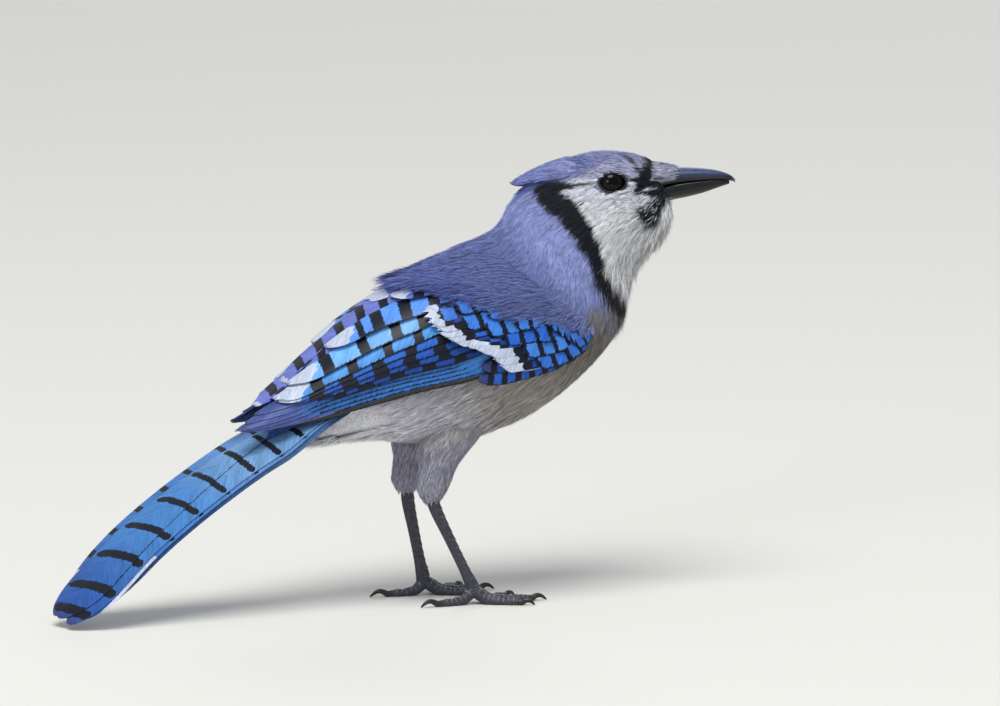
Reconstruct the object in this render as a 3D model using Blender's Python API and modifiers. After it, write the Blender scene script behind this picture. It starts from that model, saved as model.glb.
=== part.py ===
"""A life-size still model of a blue jay standing on the floor, for Blender 4.5.

Run it with: blender --background --python part.py

The bird is drawn straight ahead, facing +X, in millimetres. place() then turns the head to
the bird's right about the neck and moves everything into the row frame in metres, whose
origin is on the floor under the middle of the model.
"""

import math

import bmesh
import bpy
import numpy as np

MM = 0.001
GAP = 0.3  # between nodes that touch
ROW_X = -31.52  # where the row's origin lies in the straight drawing
ROW_Y = 0.0
RIGHT, LEFT = -1, 1  # the sign of Y on each side

HEAD_TURN = math.radians(22)
NECK_PIVOT = (35.6, 112.0)
NECK_RISE = math.radians(44)
NECK_TURN_FROM, NECK_TURN_TO = -18.0, 4.0

# Midline stations of head, neck, torso and rump, from the bill backwards:
# top (x, z), underside (x, z), half width, and how much fuller the upper side is.
BODY = [
    ((64.2, 142.6), (66.8, 130.6), 5.6, 0.05),
    ((60.5, 144.8), (69.4, 126.6), 8.0, 0.05),
    ((55.5, 146.2), (67.5, 120.5), 10.0, 0.08),
    ((49.5, 146.8), (63.5, 115.0), 11.4, 0.08),
    ((42.0, 146.4), (59.5, 111.0), 12.4, 0.05),
    ((35.5, 144.6), (56.5, 106.5), 12.8, 0.00),
    ((28.0, 141.0), (54.8, 102.0), 13.0, 0.00),
    ((20.5, 136.0), (54.0, 98.0), 13.6, -0.05),
    ((14.0, 130.5), (53.0, 92.5), 15.5, -0.08),
    ((8.8, 124.5), (50.5, 86.0), 18.0, -0.12),
    ((2.5, 120.2), (44.0, 78.5), 20.5, -0.16),
    ((-7.0, 116.3), (34.5, 70.3), 22.0, -0.20),
    ((-18.0, 110.5), (22.0, 62.3), 22.5, -0.24),
    ((-29.0, 102.5), (6.0, 56.2), 21.8, -0.26),
    ((-40.0, 92.5), (-12.0, 53.6), 19.5, -0.24),
    ((-51.0, 81.0), (-30.0, 53.4), 15.0, -0.18),
    ((-60.0, 71.0), (-46.0, 54.0), 10.0, -0.10),
    ((-66.3, 64.2), (-62.6, 55.0), 7.0, 0.0),
]
HEAD_END, NECK_END, TORSO_END, RUMP_END = 7.3, 10.2, 15.0, 17.0
BODY_SIDES = 20

# The folded wing lies on a sheath: lower edge (x, z), ridge over the back (x, z), half width.
SHEATH = [
    ((36.0, 88.0), (18.0, 112.5), 20.0),
    ((22.0, 80.5), (3.0, 116.2), 25.0),
    ((-2.0, 75.6), (-17.3, 110.6), 27.0),
    ((-27.0, 72.6), (-37.0, 101.0), 24.5),
    ((-48.0, 68.7), (-54.5, 87.0), 18.5),
    ((-66.0, 64.5), (-70.5, 73.5), 13.0),
    ((-84.3, 59.6), (-86.0, 62.8), 9.5),
]
RIDGE = 0.985  # no feather reaches past this b, so the two wings stay apart
VANE_THICK = 0.55

# Wing feathers on the sheath: root (a, b), tip (a, b), width. Each list runs from the lower edge up.
PRIMARIES = [
    ((0.16, 0.03), (0.93, 0.06), 8.0),
    ((0.20, 0.08), (0.99, 0.25), 9.0),
    ((0.24, 0.13), (1.00, 0.50), 9.0),
    ((0.28, 0.18), (0.985, 0.72), 9.0),
]
SECONDARIES = [
    ((0.24, 0.14), (0.755, 0.25), 8.0),
    ((0.26, 0.22), (0.80, 0.37), 8.5),
    ((0.28, 0.30), (0.835, 0.50), 9.0),
    ((0.29, 0.39), (0.85, 0.66), 10.0),
    ((0.29, 0.49), (0.785, 0.80), 12.0),
    ((0.28, 0.60), (0.66, 0.82), 13.0),
    ((0.27, 0.74), (0.56, 0.90), 11.0),
]
GREATER_COVERTS = [
    ((0.12, 0.06), (0.315, 0.10), 8.0),
    ((0.15, 0.13), (0.33, 0.19), 7.5),
    ((0.17, 0.20), (0.36, 0.27), 7.5),
    ((0.19, 0.28), (0.395, 0.345), 8.0),
    ((0.20, 0.37), (0.415, 0.44), 8.5),
    ((0.20, 0.46), (0.43, 0.56), 9.4),
]
MEDIAN_COVERTS = [
    ((0.04, 0.05), (0.19, 0.12), 7.0),
    ((0.06, 0.14), (0.22, 0.22), 7.0),
    ((0.08, 0.23), (0.25, 0.31), 7.5),
    ((0.10, 0.32), (0.27, 0.40), 8.0),
]
PRIMARY_COVERTS = [
    ((0.08, 0.015), (0.37, 0.025), 6.0),
    ((0.10, 0.07), (0.35, 0.08), 6.5),
]
ALULA = [
    ((0.04, 0.05), (0.27, 0.04), 5.0),
]
SCAPULARS = [
    ((0.04, 0.30), (0.25, 0.40), 10.0),
    ((0.07, 0.42), (0.31, 0.52), 11.0),
    ((0.10, 0.55), (0.37, 0.63), 12.0),
    ((0.13, 0.68), (0.42, 0.74), 12.0),
    ((0.16, 0.80), (0.45, 0.86), 10.0),
]
# The wing's solid core: a, its lowest and highest b there, and its swell.
WING_CORE = [
    (0.0, 0.05, 0.12, 0.25),
    (0.03, 0.02, 0.26, 0.6),
    (0.09, -0.01, 0.48, 0.85),
    (0.18, -0.01, 0.72, 1.0),
    (0.27, 0.0, 0.84, 1.0),
    (0.33, 0.0, 0.86, 0.85),
    (0.38, 0.02, 0.72, 0.5),
]
# Each tier of the wing: its feathers, their rise at root and tip, their slope across at root and tip,
# and the rows of points along each. Sloped feathers lie like shingles, each with its lower edge out.
WING_TIERS = [
    (PRIMARIES, (-1.7, -1.6), (-0.10, -0.28), 5),
    (SECONDARIES, (-1.0, -0.4), (-0.16, -0.30), 5),
    (PRIMARY_COVERTS, (-1.2, 0.0), (-0.12, -0.12), 3),
    (ALULA, (-0.6, 0.9), (-0.12, -0.12), 3),
    (GREATER_COVERTS, (-0.5, 1.5), (-0.18, -0.22), 4),
    (MEDIAN_COVERTS, (-0.3, 2.4), (-0.16, -0.18), 4),
    (SCAPULARS, (-0.3, 0.8), (0.08, 0.08), 4),
]
WING_CORE_DEPTH = 2.4
WING_CORE_HALF = 2.6
WING_SIDES = 12
WING_CLEAR_FROM = 6.5  # the body station from which the wings are cut clear of it

# The tail's middle line (x, z) from its root to its tip, and its feathers from the middle pair out:
# for the left and the right one, how far out its tip lies and its share of the tail's length; their width.
TAIL_LINE = [
    (-66.0, 61.6),
    (-80.3, 54.9),
    (-94.5, 46.4),
    (-108.1, 37.2),
    (-120.7, 27.4),
    (-133.3, 15.4),
    (-148.4, 2.2),
]
TAIL_FEATHERS = [
    ((2.5, 1.0), (8.0, 1.0), 17.5),
    ((7.5, 0.95), (9.8, 0.97), 16.0),
    ((9.8, 0.91), (11.3, 0.95), 15.0),
    ((11.0, 0.88), (12.2, 0.93), 14.0),
    ((11.6, 0.85), (12.7, 0.90), 13.5),
    ((12.0, 0.81), (13.2, 0.86), 12.5),
]
# The tail's solid core: how far along, half width, half height.
TAIL_CORE = [(0.005, 5.4, 2.5), (0.05, 6.2, 2.6), (0.10, 6.8, 2.5), (0.16, 6.4, 2.0), (0.20, 4.6, 1.0)]
TAIL_CORE_DEPTH = 2.1
TAIL_SIDES = 14
TAIL_ROOT = 0.012
# Tail coverts on the rump: how far out each pair lies, how far down the tail its upper and its lower
# one reach, and how much further out from the tail both lie.
TAIL_COVERTS = [(-4.5, 0.05, 0.12, 0.0), (4.5, 0.08, 0.14, 0.0), (0.0, 0.11, 0.20, 0.9)]
TAIL_COVERT_ROOT = -0.10
TAIL_COVERT_WIDTH = 9.0
TAIL_ROLL = math.radians(12)
TAIL_ARCH = 110.0
TAIL_LAYER = 0.45
TAIL_STEP = 0.02

# The bill: x along it, upper edge z, lower edge z and half width of each half.
BILL_UPPER = [
    (64.8, 142.2, 134.9, 5.0),
    (67.0, 142.0, 135.7, 4.7),
    (70.0, 141.7, 136.4, 4.1),
    (75.0, 141.5, 137.0, 3.3),
    (80.0, 141.2, 137.4, 2.6),
    (84.5, 140.5, 137.6, 1.9),
    (88.0, 139.2, 137.3, 1.1),
    (90.0, 137.6, 136.6, 0.35),
]
BILL_LOWER = [
    (66.3, 134.9, 130.9, 4.8),
    (68.5, 135.7, 130.7, 4.3),
    (72.0, 136.4, 131.3, 3.6),
    (76.0, 136.8, 132.2, 2.9),
    (80.0, 137.1, 133.3, 2.3),
    (84.5, 137.3, 134.9, 1.6),
    (88.0, 137.0, 136.1, 0.8),
]

BILL_LEAN, BILL_LEAN_END = 7.0, 72.0  # over this length, up to this x, its rings come upright

EYE_CENTRE = (49.4, 6.5, 137.2)
EYE_RADIUS = 5.4
EYELID_OUT = 4.3
EYELID_RADII = (4.2, 3.4)
# Nasal tufts: height where each starts and ends, and how far forward it reaches.
NASAL_TUFTS = [(142.2, 141.6, 70.2), (140.6, 139.9, 70.0), (138.8, 138.0, 68.8)]
NOSTRIL = (69.0, 3.6, 139.2)
NOSTRIL_RADIUS = 0.8
MOUTH_LINE = [(57.2, 132.8), (61.7, 134.3), (66.6, 135.8)]
MOUTH_REACH = (5.5, 12.0)

# The crest's tiers of locks: root and tip stations, how far round the outermost lies, rise at the tip,
# number of locks, and their width. The last tier stands out over the nape.
CREST = [
    (3.4, 5.2, 0.70, 1.0, 3, 7.5),
    (4.6, 6.5, 0.75, 1.8, 4, 7.0),
    (5.6, 7.75, 0.70, 2.8, 5, 6.0),
]
TUFT_ROOT_X = 61.0
TUFT_WIDTH = 2.2

# Legs, in the side view: stations (x, z, half depth, half width) of thigh and shank, and the foot's joint.
LEG_Y = 11.5
THIGH = [
    (-8.0, 64.0, 9.0, 5.0),
    (-10.5, 57.5, 11.0, 6.2),
    (-12.5, 53.0, 10.5, 6.2),
    (-14.8, 48.0, 7.4, 5.2),
    (-16.4, 44.0, 6.1, 4.5),
    (-17.5, 40.0, 5.5, 4.0),
    (-17.9, 37.0, 4.2, 3.1),
    (-18.1, 35.2, 3.0, 2.3),
]
SHANK = [
    (-18.0, 34.9, 2.5, 1.8),
    (-16.2, 31.0, 2.2, 1.5),
    (-11.5, 21.5, 1.9, 1.4),
    (-7.0, 12.5, 1.9, 1.4),
    (-4.4, 7.4, 2.3, 1.7),
]
FOOT_JOINT = (-3.4, 5.2)
# Toes: name, heading in degrees outwards from ahead, length, claw length.
TOES = [
    ("hind", 176.0, 11.5, 8.5),
    ("inner", -26.0, 14.5, 6.5),
    ("middle", 4.0, 19.0, 7.0),
    ("outer", 30.0, 15.0, 6.0),
]
# Along each toe, from the joint to the claw: share of its length, radius, and height of its middle.
TOE_ROWS = np.array([
    (0.00, 2.10, 4.6),
    (0.12, 2.00, 3.4),
    (0.30, 1.70, 1.7),
    (0.55, 1.60, 1.05),
    (0.62, 1.35, 0.9),
    (0.80, 1.50, 1.0),
    (1.00, 1.15, 1.0),
])
CLAW_STEPS = 6
CLAW_THICK, CLAW_POINT = 1.0, 0.16
LIMB_SIDES = 14
THIGH_LEAN = 0.3
LEFT_FOOT_BACK = 8.0
SMOOTH_UP_TO = math.radians(35)


def smoothstep(value):
    value = np.clip(value, 0.0, 1.0)
    return value * value * (3.0 - 2.0 * value)


def catmull_rom(rows, t):
    """The rows of a table read at the fractional row numbers t, as a smooth curve."""
    rows = np.asarray(rows, float)
    t = np.clip(np.asarray(t, float), 0.0, len(rows) - 1.0)
    first = np.minimum(t.astype(int), len(rows) - 2)
    f = (t - first)[..., None]
    padded = np.vstack([2 * rows[0] - rows[1], rows, 2 * rows[-1] - rows[-2]])
    a, b, c, d = (padded[first + k] for k in range(4))
    return 0.5 * (2 * b + (c - a) * f + (2 * a - 5 * b + 4 * c - d) * f**2 + (3 * b - 3 * c + d - a) * f**3)


def body_point(t, theta, rise=0.0):
    """The coat's outer surface: t counts the BODY stations, theta runs from the top round the left side."""
    table = [[*top, *bottom, width, full] for top, bottom, width, full in BODY]
    tx, tz, bx, bz, width, full = np.moveaxis(catmull_rom(table, t), -1, 0)
    half_x, half_z = (tx - bx) / 2, (tz - bz) / 2
    height = np.hypot(half_x, half_z)
    stretch = (height + rise) / height
    up, side = np.cos(theta), np.sin(theta)
    x = (tx + bx) / 2 + half_x * stretch * up
    z = (tz + bz) / 2 + half_z * stretch * up
    y = (width * (1 + full * up) + rise) * side
    return np.stack([x, y, z], -1)


def sheath_point(a, b, rise=0.0):
    """The left wing's sheath: a runs from the wrist to the wing tip, b from the lower edge to the back."""
    table = [[*low, *ridge, width] for low, ridge, width in SHEATH]
    lx, lz, rx, rz, width = np.moveaxis(catmull_rom(table, np.asarray(a) * (len(SHEATH) - 1)), -1, 0)
    angle = np.minimum(b, RIDGE) * math.pi / 2
    up = np.abs(np.sin(angle)) ** 0.9 * np.sign(np.sin(angle))
    side = np.abs(np.cos(angle)) ** 0.9
    length = np.hypot(rx - lx, rz - lz)
    x = lx + (rx - lx) * up * (length + rise) / length
    z = lz + (rz - lz) * up * (length + rise) / length
    return np.stack([x, (width + rise) * side, z], -1)


def place(points):
    """Straight drawing in millimetres to the row frame in metres: the head turns about the neck."""
    points = np.asarray(points, float)
    x, y, z = np.moveaxis(points, -1, 0)
    along = (x - NECK_PIVOT[0]) * math.cos(NECK_RISE) + (z - NECK_PIVOT[1]) * math.sin(NECK_RISE)
    turn = -HEAD_TURN * smoothstep((along - NECK_TURN_FROM) / (NECK_TURN_TO - NECK_TURN_FROM))
    forward = x - NECK_PIVOT[0]
    turned_x = NECK_PIVOT[0] + forward * np.cos(turn) - y * np.sin(turn)
    turned_y = forward * np.sin(turn) + y * np.cos(turn)
    return np.stack([turned_x - ROW_X, turned_y - ROW_Y, z], -1) * MM


def material(name, colour, roughness, metallic=0.0):
    made = bpy.data.materials.new(name)
    made.use_nodes = True
    shader = made.node_tree.nodes["Principled BSDF"]
    shader.inputs["Base Color"].default_value = (*colour, 1.0)
    shader.inputs["Roughness"].default_value = roughness
    shader.inputs["Metallic"].default_value = metallic
    return made


def mesh_object(name, points, faces, collection, finish=None):
    """An object from points in the row frame; its faces are triangulated and turned outwards."""
    mesh = bpy.data.meshes.new(name)
    mesh.from_pydata([tuple(p) for p in points], [], faces)
    shape = bmesh.new()
    shape.from_mesh(mesh)
    bmesh.ops.triangulate(shape, faces=shape.faces)
    bmesh.ops.recalc_face_normals(shape, faces=shape.faces)
    shape.to_mesh(mesh)
    shape.free()
    made = bpy.data.objects.new(name, mesh)
    collection.objects.link(made)
    if finish:
        mesh.materials.append(finish)
    return made


def loft(name, rings, collection, finish=None):
    """A closed solid through rings of points, with flat ends. The rings are in the straight drawing."""
    rings = np.asarray(rings, float)
    count, sides = rings.shape[:2]
    faces = [tuple(reversed(range(sides))), tuple(range((count - 1) * sides, count * sides))]
    for i in range(count - 1):
        for j in range(sides):
            k = (j + 1) % sides
            faces.append((i * sides + j, i * sides + k, (i + 1) * sides + k, (i + 1) * sides + j))
    return mesh_object(name, place(rings.reshape(-1, 3)), faces, collection, finish)


def body_rings(start, end, steps, rise=0.0, sides=BODY_SIDES):
    """Rings of the body from one station to another; each end ring gives way by half of the gap."""
    theta = np.arange(sides) * 2 * math.pi / sides
    t = np.linspace(start, end, steps + 1)
    rings = body_point(t[:, None], theta[None, :], rise)
    for ring, following in ((rings[0], rings[1]), (rings[-1], rings[-2])):
        along = following.mean(0) - ring.mean(0)
        across = ring[0] - ring[sides // 2]
        along -= across * (along @ across) / (across @ across)
        ring += along / np.linalg.norm(along) * GAP / 2
    return rings


def sheet_grid(corner_points, name, collection, thickness=VANE_THICK):
    """An open sheet through a grid of points, split into triangles and given its thickness by Solidify."""
    rows, columns = corner_points.shape[:2]
    faces = []
    for i in range(rows - 1):
        for j in range(columns - 1):
            k = i * columns + j
            faces.append((k, k + 1, k + columns + 1))
            faces.append((k, k + columns + 1, k + columns))
    mesh = bpy.data.meshes.new(name)
    mesh.from_pydata([tuple(p) for p in place(corner_points).reshape(-1, 3)], [], faces)
    made = bpy.data.objects.new(name, mesh)
    collection.objects.link(made)
    shell = made.modifiers.new("thickness", "SOLIDIFY")
    shell.thickness = thickness * MM
    shell.offset = 0.0
    return made


def feather_width(t, tip_start, tip_width, root_width):
    """A vane's outline: it widens from the quill, holds its width, and rounds off at the tip."""
    quill = root_width + (1 - root_width) * smoothstep(t / 0.35)
    past = np.clip((t - tip_start) / (1 - tip_start), 0, 1)
    return quill * np.maximum(np.sqrt(1 - past**2), tip_width)


def vane(surface, root, tip, width, lift, tilt, collection, name="vane", rows=6, flare=1.0,
         tip_start=0.75, tip_width=0.3, root_width=0.55, columns=2):
    """One feather on a surface(u, v, rise): its shaft runs from root to tip in (u, v), spreading early
    where flare is under 1. Its rise goes from lift[0] to lift[1], and its slope across from tilt[0] to
    tilt[1], as shingles lie."""
    t = np.linspace(0, 1, rows) ** 0.8
    u = root[0] + (tip[0] - root[0]) * t
    v = root[1] + (tip[1] - root[1]) * t**flare
    step = 1e-3
    along_u = (surface(u + step, v, 0.0) - surface(u - step, v, 0.0)) / (2 * step)
    along_v = (surface(u, v + step, 0.0) - surface(u, v - step, 0.0)) / (2 * step)
    shaft = along_u * (tip[0] - root[0]) + along_v * (tip[1] - root[1])
    normal = np.cross(along_u, along_v)
    across = np.cross(normal, shaft)
    across /= np.linalg.norm(across, axis=1)[:, None]
    # The step in (u, v) that moves one millimetre across the shaft.
    uu, uv, vv = (np.sum(p * q, 1) for p, q in ((along_u, along_u), (along_u, along_v), (along_v, along_v)))
    pu, pv = np.sum(across * along_u, 1), np.sum(across * along_v, 1)
    det = uu * vv - uv * uv
    du, dv = (pu * vv - pv * uv) / det, (pv * uu - pu * uv) / det
    half = width / 2 * feather_width(t, tip_start, tip_width, root_width)
    offsets = np.linspace(-1, 1, columns)[None, :] * half[:, None]
    slope = tilt[0] + (tilt[1] - tilt[0]) * t[:, None]
    rise = lift[0] + (lift[1] - lift[0]) * t[:, None] + offsets * slope
    grid = surface(u[:, None] + offsets * du[:, None], v[:, None] + offsets * dv[:, None], rise)
    return sheet_grid(grid, name, collection)


def solid_copy(source, name, collection):
    """A plain mesh object of a curve or modified object as the viewport shows it, its seams welded."""
    graph = bpy.context.evaluated_depsgraph_get()
    mesh = bpy.data.meshes.new_from_object(source.evaluated_get(graph))
    made = bpy.data.objects.new(name, mesh)
    made.matrix_world = source.matrix_world.copy()
    collection.objects.link(made)
    shape = bmesh.new()
    shape.from_mesh(mesh)
    bmesh.ops.remove_doubles(shape, verts=shape.verts, dist=1e-6)
    bmesh.ops.triangulate(shape, faces=shape.faces)
    bmesh.ops.recalc_face_normals(shape, faces=shape.faces)
    shape.to_mesh(mesh)
    shape.free()
    bpy.data.objects.remove(source)
    made.name = name
    return made


def new_collection(name, hidden=False):
    made = bpy.data.collections.new(name)
    bpy.context.scene.collection.children.link(made)
    made.hide_render = hidden
    return made


def combine(core, pieces, operation, solver="EXACT"):
    """Applies one Boolean of a whole collection to core, then removes the collection's objects."""
    for piece in list(pieces.objects):
        if piece.modifiers or piece.type == "CURVE":
            solid_copy(piece, piece.name, pieces)
    boolean = core.modifiers.new("combine", "BOOLEAN")
    boolean.operation = operation
    boolean.operand_type = "COLLECTION"
    boolean.collection = pieces
    boolean.solver = solver
    finishes = list(core.data.materials)
    graph = bpy.context.evaluated_depsgraph_get()
    mesh = bpy.data.meshes.new_from_object(core.evaluated_get(graph))
    core.modifiers.clear()
    core.data = mesh
    mesh.materials.clear()
    for finish in finishes:
        mesh.materials.append(finish)
    for piece in list(pieces.objects):
        bpy.data.objects.remove(piece)
    bpy.data.collections.remove(pieces)


def keep_largest(node):
    """Keeps the closed surface of a node that holds the greatest volume, and drops the rest."""
    shape = bmesh.new()
    shape.from_mesh(node.data)
    bmesh.ops.triangulate(shape, faces=shape.faces)
    left, groups = set(shape.faces), []
    while left:
        group, rim = [], [left.pop()]
        while rim:
            face = rim.pop()
            group.append(face)
            for edge in face.edges:
                # Where four faces share an edge, two closed surfaces only touch.
                beyond = [f for f in edge.link_faces if f in left and len(edge.link_faces) == 2]
                left.difference_update(beyond)
                rim += beyond
        groups.append(group)

    def volume(group):
        return sum(f.verts[0].co.dot(f.verts[1].co.cross(f.verts[2].co)) for f in group)

    groups.sort(key=volume, reverse=True)
    dropped = [face for group in groups[1:] for face in group]
    bmesh.ops.delete(shape, geom=dropped, context="FACES")
    shape.to_mesh(node.data)
    shape.free()


def ball(name, centre, radius, collection, finish=None, segments=16):
    """A sphere at a point of the straight drawing, with its poles to the bird's sides."""
    mesh = bpy.data.meshes.new(name)
    shape = bmesh.new()
    bmesh.ops.create_uvsphere(shape, u_segments=segments, v_segments=segments // 2, radius=radius * MM)
    shape.to_mesh(mesh)
    shape.free()
    made = bpy.data.objects.new(name, mesh)
    made.location = place([centre])[0]
    made.rotation_euler = (math.pi / 2, 0.0, -HEAD_TURN)
    collection.objects.link(made)
    if finish:
        mesh.materials.append(finish)
    return made


def tube(name, points, radii, collection, finish=None, resolution=2, closed=False):
    """A round limb through points of the straight drawing, thick as radii say, with closed ends."""
    curve = bpy.data.curves.new(name, "CURVE")
    curve.dimensions = "3D"
    curve.bevel_depth = 1.0
    curve.bevel_resolution = resolution
    curve.use_fill_caps = True
    spline = curve.splines.new("POLY")
    spline.use_cyclic_u = closed
    spline.points.add(len(points) - 1)
    for knot, where, radius in zip(spline.points, place(np.asarray(points, float)), radii):
        knot.co = (*where, 1.0)
        knot.radius = radius * MM
    made = bpy.data.objects.new(name, curve)
    collection.objects.link(made)
    made = solid_copy(made, name, collection)
    if finish:
        made.data.materials.append(finish)
    return made


def tail_point(u, v, rise=0.0):
    """The tail's upper face: u runs from root to tip, v is millimetres to the left of its middle line.
    Past its ends the line runs on straight."""
    u, v, rise = np.broadcast_arrays(np.asarray(u, float), v, rise)
    last = len(TAIL_LINE) - 1
    inside = np.clip(u, TAIL_STEP, 1 - TAIL_STEP)
    ahead = catmull_rom(TAIL_LINE, (inside + TAIL_STEP) * last)
    behind = catmull_rom(TAIL_LINE, (inside - TAIL_STEP) * last)
    along = (ahead - behind) / np.linalg.norm(ahead - behind, axis=-1)[..., None]
    length = np.linalg.norm(np.diff(TAIL_LINE, axis=0), axis=1).sum()
    over = (u - np.clip(u, 0, 1)) * length
    x, z = np.moveaxis(catmull_rom(TAIL_LINE, u * last) + along * over[..., None], -1, 0)
    roll = TAIL_ROLL * smoothstep((u + 0.15) * 4)
    height = rise - v**2 / (2 * TAIL_ARCH)
    side = v * np.cos(roll) - height * np.sin(roll)
    up = v * np.sin(roll) + height * np.cos(roll)
    return np.stack([x + along[..., 1] * up, side, z - along[..., 0] * up], -1)


def one_side(surface, side):
    """The same surface on the bird's left, or mirrored to its right."""
    def mirrored(u, v, rise=0.0):
        return surface(u, v, rise) * np.array([1.0, side, 1.0])
    return mirrored


SIDES = ((RIGHT, "right"), (LEFT, "left"))


def build_eyes(bird, wet):
    x, y, z = EYE_CENTRE
    for side, label in SIDES:
        ball(f"eye_{label}", (x, side * y, z), EYE_RADIUS, bird, wet)


def build_crest(pieces):
    """Tiers of locks down the back of the head, the outer ones shorter and leaning to the middle."""
    for root, tip, spread, rise, count, width in CREST:
        for theta in np.linspace(-spread, spread, count):
            length = (tip - root) * (1 - 0.25 * abs(theta / spread))
            vane(body_point, (root, theta), (root + length, theta * 0.45), width, (-0.5, rise), (0, 0),
                 pieces, "crest", rows=4, tip_width=0.25)


def tuft(start, end, width, side, collection):
    """A flat tapered lock from start to end on one side of the head, its breadth upright."""
    t = np.linspace(0, 1, 4)
    middle = start[None, :] + (end - start)[None, :] * t[:, None]
    middle[:, 1] += side * 0.5 * np.sin(math.pi * t)
    breadth = width / 2 * np.array([0.9, 1.0, 0.75, 0.2])[:, None] * np.array([0.0, 0.0, 1.0])
    sheet_grid(np.stack([middle - breadth, middle + breadth], 1), "tuft", collection)


def build_face(pieces, side):
    """The rim of the eyelids, and the nasal tufts that lie forward over the base of the bill."""
    x, y, z = EYE_CENTRE
    ring = np.arange(16) * 2 * math.pi / 16
    out = y + EYELID_OUT - 0.35 * np.sin(ring)
    lid = np.stack([x + EYELID_RADII[0] * np.cos(ring), side * out, z + EYELID_RADII[1] * np.sin(ring)], -1)
    tube("lid", lid, np.full(16, 0.7), pieces, resolution=0, closed=True)
    for k, (start_z, end_z, reach) in enumerate(NASAL_TUFTS):
        start = np.array([TUFT_ROOT_X, side * (5.2 + 0.5 * k), start_z])
        end = np.array([reach, side * (3.6 + 0.9 * k), end_z])
        tuft(start, end, TUFT_WIDTH, side, pieces)


def build_head(bird, finish):
    head = loft("head", body_rings(0.0, HEAD_END, 12), bird, finish)
    pieces = new_collection("head pieces")
    build_crest(pieces)
    for side, _ in SIDES:
        build_face(pieces, side)
    combine(head, pieces, "UNION", "MANIFOLD")
    cutters = new_collection("head cutters", hidden=True)
    x, y, z = EYE_CENTRE
    for side, label in SIDES:
        ball(f"socket_{label}", (x, side * y, z), EYE_RADIUS + GAP, cutters, segments=16)
        line = np.array([[[px, side * across, pz] for across in MOUTH_REACH] for px, pz in MOUTH_LINE])
        sheet_grid(line, "mouth line", cutters)
    combine(head, cutters, "DIFFERENCE", "MANIFOLD")
    keep_largest(head)


def bill_rings(table, upper):
    """Half-round rings of one half of the bill: its flat side lies along the gape, half the gap back,
    and its first rings lean as the face does."""
    psi = np.linspace(0, math.pi, 9)
    (top_x, top_z), (under_x, under_z) = BODY[0][:2]
    slope = (under_x - top_x) / (top_z - under_z)
    rings = []
    for x, top, bottom, width in catmull_rom(table, np.linspace(0, len(table) - 1, 2 * len(table) - 1)):
        seam, crown = (bottom + GAP / 2, top) if upper else (top - GAP / 2, bottom)
        z = seam + (crown - seam) * np.sin(psi) ** 0.8
        lean = slope * np.clip((BILL_LEAN_END - x) / BILL_LEAN, 0, 1)
        start = top if upper else BILL_LOWER[0][1]
        rings.append(np.stack([x + (start - z) * lean, width * np.cos(psi), z], -1))
    return rings


def build_bill(bird, finish):
    """The two halves of the bill, with a nostril sunk in each side of the upper one."""
    upper = loft("bill_upper", bill_rings(BILL_UPPER, True), bird, finish)
    loft("bill_lower", bill_rings(BILL_LOWER, False), bird, finish)
    cutters = new_collection("nostrils", hidden=True)
    x, y, z = NOSTRIL
    for side, label in SIDES:
        ball(f"nostril_{label}", (x, side * y, z), NOSTRIL_RADIUS, cutters, segments=10)
    combine(upper, cutters, "DIFFERENCE")
    keep_largest(upper)


def build_trunk(bird, coat):
    """Neck, torso and rump, parted by thin cuts, and the tail coverts rooted in the rump."""
    loft("neck", body_rings(HEAD_END, NECK_END, 6), bird, coat)
    loft("torso", body_rings(NECK_END, TORSO_END, 12), bird, coat)
    rump = loft("rump", body_rings(TORSO_END, RUMP_END, 4), bird, coat)
    pieces = new_collection("rump pieces")
    for v, over, under, out in TAIL_COVERTS:
        root = (TAIL_COVERT_ROOT, v * 0.65)
        vane(tail_point, root, (over, v), TAIL_COVERT_WIDTH, (1.2, 1.4 + out), (0, 0), pieces, rows=4)
        vane(tail_point, root, (under, v), TAIL_COVERT_WIDTH, (-5.4, -5.6 - out), (0, 0), pieces, rows=4)
    combine(rump, pieces, "UNION", "MANIFOLD")
    keep_largest(rump)


def build_tail(bird, finish):
    """The tail feathers fanned a little and stacked, the left middle one on top, joined over a core."""
    psi = np.arange(TAIL_SIDES) * 2 * math.pi / TAIL_SIDES
    rings = []
    for u, half_width, half_height in TAIL_CORE:
        v, rise = half_width * np.cos(psi), half_height * np.sin(psi) - TAIL_CORE_DEPTH
        rings.append(tail_point(np.full(TAIL_SIDES, u), v, rise))
    tail = loft("tail", rings, bird, finish)
    pieces = new_collection("tail pieces")
    for k, (*pair, width) in enumerate(TAIL_FEATHERS):
        for side, (out, share) in zip((LEFT, RIGHT), pair):
            layer = -TAIL_LAYER * (k + 1 if k or side == RIGHT else 0)
            root, tip = (TAIL_ROOT, side * (1.0 + k)), (share, side * out)
            vane(tail_point, root, tip, width, (layer, layer), (0, 0), pieces, "rectrix", rows=7,
                 flare=0.4, tip_start=0.86, tip_width=0.35, columns=3)
    combine(tail, pieces, "UNION", "MANIFOLD")
    cut_at_floor(tail)
    keep_largest(tail)


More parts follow.
